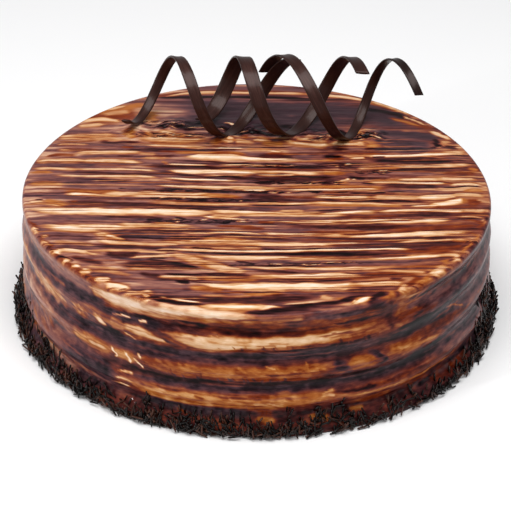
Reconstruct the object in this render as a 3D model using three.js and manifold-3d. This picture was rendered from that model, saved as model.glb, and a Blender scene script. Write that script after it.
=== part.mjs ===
// Round coffee cake under marbled glaze, with three chocolate curls standing on top.
// Millimetres, +Z up. The cake stands on z = 0, centred on the Z axis, and its front faces -Y.
import * as THREE from 'three';
import { mergeVertices } from 'three/addons/utils/BufferGeometryUtils.js';
import Module from 'manifold-3d';

// ---- cake body ----
const CAKE_HEIGHT = 67.2;
const WALL_TOP_RADIUS = 119.5;
const WALL_FOOT_RADIUS = 122.8;
const RIM_ROUNDING = 1.8;
const FOOT_ROUNDING = 1.2;
const BODY_SEGMENTS = 84;
const WALL_RINGS = 18;
const RIM_STEPS = 3;

// ---- combed ridges round the side ----
const RIDGE_PITCH = 15.4;
const RIDGE_DEPTH = 2.0;
const LOWEST_GROOVE = 11;
const GROOVE_WANDER = 0.9;

// ---- glaze on top: long low ridges along X, and lumps pushed up round the curls' feet ----
const GLAZE_RADIUS = 117;
const GLAZE_COLUMNS = 16;
const GLAZE_ROWS = 46;
const GLAZE_SKIN = 8;
const STREAK_SPACING = 16;
const STREAK_HEIGHT = 0.45;
const BED_DROP = 0.6;
const RIM_FADE = 14;
const LUMPS = [
  { x: -67, y: 62, height: 2.2, spread: 9 },
  { x: -48, y: 66, height: 1.6, spread: 8 },
  { x: -17, y: 56, height: 1.8, spread: 8 },
  { x: -2, y: 60, height: 1.6, spread: 7 },
  { x: 24, y: 58, height: 1.4, spread: 8 },
  { x: 38, y: 54, height: 1.5, spread: 7 },
  { x: 60, y: 57, height: 2.2, spread: 8 },
];

// ---- chocolate curls: flat ribbons wound as right-handed helices, their axes nearly along X ----
// Lengths hold at the ribbon's lowest near-side point, angle REFERENCE_ANGLE; gains are per turn.
const REFERENCE_ANGLE = 238;
const RIBBON_THICKNESS = 1.2;
const RIBBON_STEP = 9;
const CURLS = {
  curl_left: {
    axisPoint: [-18.7, 62.9, 86.7],
    heading: -3.5,
    tilt: -2.0,
    radius: 20.7,
    radiusGain: 3.0,
    pitch: 62.8,
    pitchGain: 13.2,
    width: 7.4,
    widthGain: 2.0,
    startAngle: -137,
    endAngle: 424,
  },
  curl_middle: {
    axisPoint: [14.8, 62.6, 88.0],
    heading: -9.3,
    tilt: 0.8,
    radius: 20.7,
    radiusGain: 4.0,
    pitch: 57.6,
    pitchGain: 10.0,
    width: 8.3,
    widthGain: -1.2,
    startAngle: -98,
    endAngle: 474,
  },
  curl_right: {
    axisPoint: [44.9, 61.6, 87.6],
    heading: 1.5,
    tilt: 3.1,
    radius: 21.9,
    radiusGain: -4.7,
    pitch: 59.2,
    pitchGain: -9.0,
    width: 6.5,
    widthGain: -2.4,
    startAngle: 14,
    endAngle: 514,
  },
};
const CURL_GAP = 0.35;

// ---- chocolate strands pressed into the foot of the cake ----
const STRAND_COUNT = 96;
const STRAND_RADIUS = 0.85;
const STRAND_SHORTEST = 5.5;
const STRAND_LONGEST = 9;
const STRAND_BAND = 8;
const STRAND_STAND_OFF = 0.2;
const STRAND_TIP_OUT = 0.3;
const STRAND_SIDES = 5;
const STRAND_SEED = 11;
// Where the strands climb higher up the side: angle from +X in degrees, added height and spread.
const STRAND_CLIMBS = [
  { angle: -20, height: 15, spread: 14 },
  { angle: -162, height: 9, spread: 16 },
];
// The wall swells a little where the strands are thick.
const STRAND_BED = 2.2;
const STRAND_BED_HEIGHT = 8;

const degrees = THREE.MathUtils.degToRad;
const wasm = await Module();
wasm.setup();

// Repeatable random numbers between 0 and 1.
function seededRandom(seed) {
  let state = seed;
  return () => {
    state = (state * 1664525 + 1013904223) % 4294967296;
    return state / 4294967296;
  };
}

// A closed geometry as a solid that can be joined and cut.
function toSolid(geometry) {
  geometry.deleteAttribute('normal');
  geometry.deleteAttribute('uv');
  const welded = mergeVertices(geometry, 1e-4);
  const triangles = [];
  for (let i = 0; i < welded.index.count; i += 3) {
    const [a, b, c] = [0, 1, 2].map((k) => welded.index.getX(i + k));
    if (a !== b && b !== c && c !== a) triangles.push(a, b, c);
  }
  const vertProperties = new Float32Array(welded.attributes.position.array);
  const triVerts = new Uint32Array(triangles);
  return new wasm.Manifold(new wasm.Mesh({ numProp: 3, vertProperties, triVerts }));
}

function toGeometry(solid) {
  const { vertProperties, triVerts } = solid.getMesh();
  const geometry = new THREE.BufferGeometry();
  geometry.setAttribute('position', new THREE.BufferAttribute(vertProperties, 3));
  geometry.setIndex(new THREE.BufferAttribute(triVerts, 1));
  geometry.computeVertexNormals();
  return geometry;
}

// Moves every vertex of a geometry to where place(x, y, z) puts it.
function reshape(geometry, place) {
  const position = geometry.attributes.position;
  for (let i = 0; i < position.count; i += 1) {
    position.setXYZ(i, ...place(position.getX(i), position.getY(i), position.getZ(i)));
  }
  return geometry;
}

// Radius of the side at a height and an angle round the cake, with its ridges and their slow wander.
function wallRadius(z, angle) {
  const flare = THREE.MathUtils.lerp(WALL_FOOT_RADIUS, WALL_TOP_RADIUS, z / CAKE_HEIGHT);
  const wander = GROOVE_WANDER * (Math.sin(3 * angle + 1) + 0.5 * Math.sin(7 * angle));
  const ridge = -Math.cos((2 * Math.PI * (z - LOWEST_GROOVE - wander)) / RIDGE_PITCH);
  const strength = 1 + 0.25 * Math.sin(5 * angle + z / RIDGE_PITCH);
  const bed = STRAND_BED * (1 - THREE.MathUtils.smoothstep(z, 0.4 * STRAND_BED_HEIGHT, STRAND_BED_HEIGHT));
  return flare + 0.5 * RIDGE_DEPTH * strength * ridge + bed;
}

// The body: a lathe profile from the foot up the ridged wall and over the rounded rim.
function bodyGeometry() {
  const bedHeight = CAKE_HEIGHT - BED_DROP;
  const wallTop = bedHeight - RIM_ROUNDING;
  const profile = [new THREE.Vector2(0, 0)];
  profile.push(new THREE.Vector2(wallRadius(0, 0) - FOOT_ROUNDING, 0));
  for (let i = 0; i <= WALL_RINGS; i += 1) {
    const z = THREE.MathUtils.lerp(FOOT_ROUNDING, wallTop, i / WALL_RINGS);
    profile.push(new THREE.Vector2(wallRadius(z, 0), z));
  }
  for (let i = 1; i <= RIM_STEPS; i += 1) {
    const turn = (i / RIM_STEPS) * 0.5 * Math.PI;
    const inset = RIM_ROUNDING * (1 - Math.cos(turn));
    const rise = RIM_ROUNDING * Math.sin(turn);
    profile.push(new THREE.Vector2(wallRadius(wallTop, 0) - inset, wallTop + rise));
  }
  profile.push(new THREE.Vector2(0, bedHeight));
  const lathe = new THREE.LatheGeometry(profile, BODY_SEGMENTS).rotateX(0.5 * Math.PI);
  return reshape(lathe, (x, y, z) => {
    const angle = Math.atan2(y, x);
    const height = Math.min(z, wallTop);
    const scale = wallRadius(height, angle) / wallRadius(height, 0);
    return [x * scale, y * scale, z];
  });
}

// Height of the glaze above the bed: streaks along X, lumps, and a fade to the bed at the rim.
function glazeHeight(x, y) {
  const sway = 3 * Math.sin(x / 38) + 2 * Math.sin(x / 17 + y / 40);
  const streak = STREAK_HEIGHT * Math.cos((2 * Math.PI * (y + sway)) / STREAK_SPACING);
  let height = BED_DROP + streak;
  for (const lump of LUMPS) {
    const distance = Math.hypot(x - lump.x, y - lump.y) / lump.spread;
    height += lump.height * Math.exp(-distance * distance * 2);
  }
  const fade = THREE.MathUtils.smoothstep(GLAZE_RADIUS - Math.hypot(x, y), 0, RIM_FADE);
  return height * fade;
}

// The top glaze: a box bent into a disc, whose upper side carries the relief.
function glazeGeometry() {
  const box = new THREE.BoxGeometry(2, 2, 2, GLAZE_COLUMNS, GLAZE_ROWS, 1);
  const bed = CAKE_HEIGHT - BED_DROP;
  return reshape(box, (u, v, w) => {
    const x = GLAZE_RADIUS * u * Math.sqrt(1 - 0.5 * v * v);
    const y = GLAZE_RADIUS * v * Math.sqrt(1 - 0.5 * u * u);
    const sunk = 0.15;
    const z = w > 0 ? bed - sunk + glazeHeight(x, y) : bed - GLAZE_SKIN;
    return [x, y, z];
  });
}

// One ribbon: a long box wound round its axis, grown by margin on every side.
function ribbonGeometry(curl, margin) {
  const sweep = curl.endAngle - curl.startAngle;
  const steps = Math.ceil(sweep / RIBBON_STEP);
  const turn = new THREE.Euler(0, -degrees(curl.tilt), degrees(curl.heading), 'ZYX');
  const centre = new THREE.Vector3(...curl.axisPoint);
  const endMargin = THREE.MathUtils.radToDeg(margin / curl.radius);
  const box = new THREE.BoxGeometry(1, 1, 1, steps, 1, 1);
  return reshape(box, (along, across, outward) => {
    const angle = curl.startAngle + (along + 0.5) * sweep + 2 * along * endMargin;
    const turns = (angle - REFERENCE_ANGLE) / 360;
    const width = curl.width + curl.widthGain * turns + 2 * margin;
    const thickness = RIBBON_THICKNESS + 2 * margin;
    const radius = curl.radius + curl.radiusGain * turns + outward * thickness;
    const travel = curl.pitch * turns + curl.pitchGain * turns * turns + across * width;
    const point = new THREE.Vector3(
      travel,
      radius * Math.cos(degrees(angle)),
      radius * Math.sin(degrees(angle)),
    );
    return point.applyEuler(turn).add(centre).toArray();
  });
}

// Highest that the strands reach at an angle round the cake.
function strandBand(angle) {
  let band = STRAND_BAND;
  for (const climb of STRAND_CLIMBS) {
    const away = Math.atan2(Math.sin(angle - degrees(climb.angle)), Math.cos(angle - degrees(climb.angle)));
    band += climb.height * Math.exp(-((away / degrees(climb.spread)) ** 2));
  }
  return band;
}

// One strand: a small capsule on the side of the cake, leaning along it and tipped out of it.
function strandGeometry(angle, height, length, lean, tip) {
  const stem = length - 2 * STRAND_RADIUS;
  const strand = new THREE.CapsuleGeometry(STRAND_RADIUS, stem, 1, STRAND_SIDES, 1);
  strand.rotateX(lean);
  strand.rotateZ(tip);
  const reach = wallRadius(height, angle) + STRAND_STAND_OFF;
  strand.translate(reach, 0, height);
  strand.rotateZ(angle);
  return strand;
}

// Strands in even steps round the foot, each nudged by a seeded random amount.
function addStrands(cake) {
  const random = seededRandom(STRAND_SEED);
  let solid = cake;
  for (let i = 0; i < STRAND_COUNT; i += 1) {
    const angle = ((i + 0.6 * random()) / STRAND_COUNT) * 2 * Math.PI;
    const length = THREE.MathUtils.lerp(STRAND_SHORTEST, STRAND_LONGEST, random());
    const lean = Math.PI * random();
    const tip = STRAND_TIP_OUT * (2 * random() - 1);
    const drop = 0.5 * length * Math.abs(Math.sin(lean)) + STRAND_RADIUS;
    const height = drop + (strandBand(angle) - 1) * random() ** 2;
    solid = solid.add(toSolid(strandGeometry(angle, height, length, lean, tip)));
  }
  return solid;
}

function cakeMesh() {
  let solid = toSolid(bodyGeometry()).add(toSolid(glazeGeometry()));
  for (const curl of Object.values(CURLS)) {
    solid = solid.subtract(toSolid(ribbonGeometry(curl, CURL_GAP)));
  }
  solid = addStrands(solid);
  const glaze = new THREE.MeshStandardMaterial({
    color: 0x7a4630,
    roughness: 0.18,
    metalness: 0,
  });
  return namedMesh('cake', solid, glaze);
}

function curlMesh(name, curl) {
  const chocolate = new THREE.MeshStandardMaterial({
    color: 0x35241f,
    roughness: 0.42,
    metalness: 0,
  });
  return namedMesh(name, toSolid(ribbonGeometry(curl, 0)), chocolate);
}

function namedMesh(name, solid, material) {
  const mesh = new THREE.Mesh(toGeometry(solid), material);
  mesh.name = name;
  return mesh;
}

const coffeeCake = new THREE.Group();
coffeeCake.add(cakeMesh());
const topping = new THREE.Group();
for (const [name, curl] of Object.entries(CURLS)) {
  topping.add(curlMesh(name, curl));
}
coffeeCake.add(topping);

export default coffeeCake;
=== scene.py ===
import math
import bpy
import numpy as np
from mathutils import Matrix, Vector


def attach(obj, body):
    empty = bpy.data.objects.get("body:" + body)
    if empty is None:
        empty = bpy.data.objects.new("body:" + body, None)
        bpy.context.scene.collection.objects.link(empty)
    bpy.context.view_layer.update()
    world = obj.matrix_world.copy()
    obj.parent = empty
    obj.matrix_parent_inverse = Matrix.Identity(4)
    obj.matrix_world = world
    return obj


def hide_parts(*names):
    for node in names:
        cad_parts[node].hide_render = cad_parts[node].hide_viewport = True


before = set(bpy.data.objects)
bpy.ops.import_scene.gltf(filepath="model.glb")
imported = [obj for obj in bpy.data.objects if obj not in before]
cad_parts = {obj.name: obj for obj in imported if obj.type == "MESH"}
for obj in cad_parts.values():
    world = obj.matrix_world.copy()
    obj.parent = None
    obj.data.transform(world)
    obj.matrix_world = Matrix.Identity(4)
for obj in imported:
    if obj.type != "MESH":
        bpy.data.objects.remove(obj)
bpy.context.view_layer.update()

# A round coffee cake under marbled mirror glaze, with chocolate curls on top and chocolate
# strands round its foot. Lengths are in millimetres until a mesh is made, +Z up, front at -Y.
# Angles round the cake are in degrees from the front, growing towards +X.
MM = 0.001

# ---- sizes shared with the solids ----
CAKE_HEIGHT = 67.2
BED_HEIGHT = 66.6
WALL_TOP_RADIUS = 119.5
WALL_FOOT_RADIUS = 122.8
RIM_ROUNDING = 1.8
RIDGE_PITCH = 15.4
RIDGE_DEPTH = 2.0
LOWEST_GROOVE = 11.0
GROOVE_WANDER = 0.9
STRAND_BED = 2.2
STRAND_BED_HEIGHT = 8.0
RIBBON_THICKNESS = 1.2
# the curls: helices along +X, turned by heading and tilt in degrees. A gain is the change in
# one whole turn from REFERENCE_ANGLE, and start and end are angles along the helix.
REFERENCE_ANGLE = 238.0
CURLS = {
    "curl_left": dict(
        axis_point=(-18.7, 62.9, 86.7), heading=-3.5, tilt=-2.0, radius=20.7, radius_gain=3.0,
        pitch=62.8, pitch_gain=13.2, width=7.4, width_gain=2.0, start=-137, end=424,
    ),
    "curl_middle": dict(
        axis_point=(14.8, 62.6, 88.0), heading=-9.3, tilt=0.8, radius=20.7, radius_gain=4.0,
        pitch=57.6, pitch_gain=10.0, width=8.3, width_gain=-1.2, start=-98, end=474,
    ),
    "curl_right": dict(
        axis_point=(44.9, 61.6, 87.6), heading=1.5, tilt=3.1, radius=21.9, radius_gain=-4.7,
        pitch=59.2, pitch_gain=-9.0, width=6.5, width_gain=-2.4, start=14, end=514,
    ),
}

# ---- meshes: how many parts, and the degrees in one step along a curl. The side has finer
# steps up to FRONT_REACH degrees from the front. Its first ring lies under the top's edge. ----
TOP_COLUMNS = 146
TOP_ROWS = 640
SIDE_STEPS_FRONT = 580
SIDE_STEPS_BACK = 220
FRONT_REACH = 94.0
RIM_RINGS = 8
SIDE_RINGS = 108
TOP_OVERLAP = 0.3
SIDE_TUCK = 1.5
CURL_STEP = 2.5
CURL_EDGE_CUP = 0.25

# ---- the glaze's ground, before the streaks: its tone and veil, which the colours below
# explain, and how much darker it is at the foot ----
TOP_TONE = 0.35
SIDE_TONE = 0.18
VEIL_LEFT = 0.85
VEIL_RIGHT = 0.4
FOOT_SHADE = 0.16
# the smooth dark pool at the back of the top, from this place along +Y
POOL_EDGE = 55
POOL_SLOPE = 0.06
POOL_SOFTNESS = 8
# the dark upright seam at the front of the upper ridges, in degrees
SEAM_ANGLE = 32.2
SEAM_WIDTH = 0.55
SEAM_SHARE = 0.8

# ---- how streaks are laid ----
# those on top climb towards the back, from this place along +X
STREAK_CLIMB = 0.07
CLIMB_FROM = 20
# those on the side use this scale, and go on behind the cake as the front's mirror image
MM_PER_DEGREE = 2.1
BACK_STARTS = 90
# how torn a streak is along its length, and the share of its length that each end fades over
TEAR = 0.36
SIDE_TEAR = 0.12
FEATHER = 0.16
# half widths above which a streak is torn less, outlined, or edged on the side
WIDE_HALF = 4
OUTLINED_HALF = 0.7
EDGED_HALF_ON_SIDE = 0.8

# ---- thin random streaks between the larger ones: how many, their half lengths and widths,
# and how strongly they cover. Flecks and wrinkles are short ones. ----
THREAD_COUNT = 360
THREAD_SEED = 21
THREAD_REACH = (8, 34)
THREAD_HALF = (0.2, 0.45)
THREAD_STRENGTH = 0.65
SIDE_THREAD_REACH = (3, 16)
SIDE_THREAD_HALF = (0.25, 0.6)
SIDE_THREAD_STRENGTH = 0.4
FLECK_STRENGTH = 0.6
WRINKLE_LENGTH = (0.8, 3.6)

# ---- relief of the glaze on top. It is pressed down where a curl lies on it: under the parts of
# curls up to PRESS_REACH above the bed, fully up to PRESS_FULL beside them, and not at all
# beyond PRESS_NONE. ----
RELIEF_LEVEL = 0.45
PRESS_REACH = 3.0
PRESS_DEPTH = 0.1
PRESS_FULL = 0.5
PRESS_NONE = 2.4

# ---- chocolate strands at the foot: those in the heap, and how far out they lie at most ----
STRAND_COUNT = 2300
STRAND_SIDES = 5
STRAND_SEED = 4
STRAND_LENGTH = (4.0, 8.5)
STRAND_RADIUS = (0.38, 0.56)
STRAND_REACH = 2.6
# how high the heap reaches, by how much that varies, and where it dips, in degrees
BAND_HEIGHT = 4.6
BAND_VARIES = 1.6
BAND_DIP = 2.6
DIP_ANGLE = 46
DIP_WIDTH = 15
# stations along a strand: (place, size), with smaller ones at its ends
STRAND_STATIONS = [(-0.5, 0.55), (-0.42, 1.0), (0.0, 1.0), (0.42, 1.0), (0.5, 0.55)]
# the part of the front, in degrees, where the heap is thin, and the share that is left out there
THIN_FROM = 24
THIN_TO = 62
THIN_SHARE = 0.4
# strands that cling above the heap: (middle and spread in degrees, lowest, highest, how many)
STRAND_CLUSTERS = [
    (-25, 1.6, 5, 13, 10), (-46, 2.0, 5, 9, 4), (-52, 1.0, 6, 15, 2), (-60, 5.0, 5, 12, 22),
    (-78, 8.0, 4, 18, 60), (-8, 9.0, 4, 8, 18), (8, 1.4, 5, 14, 6), (14, 1.2, 5, 13, 5),
    (20.5, 1.6, 5, 16, 10), (30, 6.0, 4, 7, 10), (40, 1.6, 4, 9, 6), (64, 3.0, 3, 8, 14),
    (76, 7.0, 4, 26, 130), (112, 12.0, 4, 14, 60), (150, 14.0, 4, 9, 40),
    (-120, 14.0, 4, 13, 60), (-160, 12.0, 4, 10, 40),
]

# ---- camera, light and surroundings ----
CAMERA_DISTANCE = 1000.0
CAMERA_ELEVATION = 31.64
CAMERA_ROLL = 0.885
CAMERA_TARGET = (-0.33, 0.0, 24.92)
CAMERA_LENS = 133.12
CAMERA_SENSOR = 36.0
# (name, place in metres, point it faces, size in metres, power in watts)
LIGHTS = [
    ("overhead", (0.0, -0.22, 1.15), (0, 0, 0.06), (1.1, 0.85), 15.0),
    ("left_window", (-1.06, -0.70, 0.38), (0, 0, 0.05), (0.03, 0.50), 4.2),
]
# brightness of the surroundings, from the horizon up, and how much bluer than grey they are
WORLD_LEVELS = [(0.0, 0.55), (0.6, 0.36), (1.0, 0.3)]
WORLD_BLUE = 1.02
WORLD_STRENGTH = 0.8
FLOOR_HALF = 4000.0
FLOOR_GREY = 0.93

# ---- sRGB colours that a material runs through: (place, red, green, blue) ----
WARM_RAMP = [
    (0.00, 14, 1, 0), (0.13, 50, 9, 4), (0.25, 86, 26, 10), (0.37, 124, 48, 14),
    (0.53, 170, 98, 42), (0.66, 200, 142, 86), (0.79, 218, 173, 128), (0.90, 232, 197, 160),
    (1.00, 238, 217, 196),
]
VEILED_RAMP = [
    (0.00, 16, 8, 12), (0.10, 41, 27, 33), (0.20, 72, 49, 55), (0.30, 99, 65, 68),
    (0.43, 132, 86, 80), (0.56, 160, 110, 96), (0.70, 190, 144, 120), (0.85, 216, 178, 150),
    (1.00, 233, 208, 189),
]
CURL_RAMP = [(0.0, 17, 5, 3), (0.5, 43, 20, 15), (1.0, 76, 47, 42)]
STRAND_RAMP = [(0.0, 4, 1, 0), (0.6, 18, 7, 4), (1.0, 74, 42, 30)]
# painted shade: the curls darken from this place along +X, over this length
CURL_SHADE_FROM = 58.0
CURL_SHADE_OVER = 22.0
CURL_SHADE_DEPTH = 0.5
# shares of the fine streaks and threads in the glaze's tone, and of its folds
STREAK_SHARE = 0.32
THREAD_SHARE = 0.12
FOLD_SHARPNESS = 22.0
FOLD_SHARE = 0.5

# ---- colours of the glaze: how light it is, from near-black chocolate (0) to pale cream (1),
# and how veiled, from clear and warm (0) to the dull violet-brown of a thick dark layer (1),
# which is partly its own colour and partly painted reflection of the pale surroundings ----
# the white of painted highlights and glints
GLINT_WHITE = (1.05, 0.0)
CREAM = (0.97, 0.15)
PALE = (0.86, 0.25)
IVORY = (0.94, 0.7)
BEIGE = (0.83, 0.15)
SAND = (0.77, 0.3)
CARAMEL = (0.65, 0.3)
GOLD = (0.62, 0.0)
AMBER = (0.53, 0.0)
HONEY = (0.46, 0.0)
RUST = (0.34, 0.0)
ROSE = (0.43, 0.85)
BROWN = (0.30, 0.75)
DARK = (0.15, 0.22)
MAROON = (0.14, 0.0)
PLUM = (0.10, 1.0)
SLATE = (0.16, 1.0)
MAUVE = (0.56, 1.0)
BLACK = (0.02, 0.3)
FRINGE = (0.45, 0.0)

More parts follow.
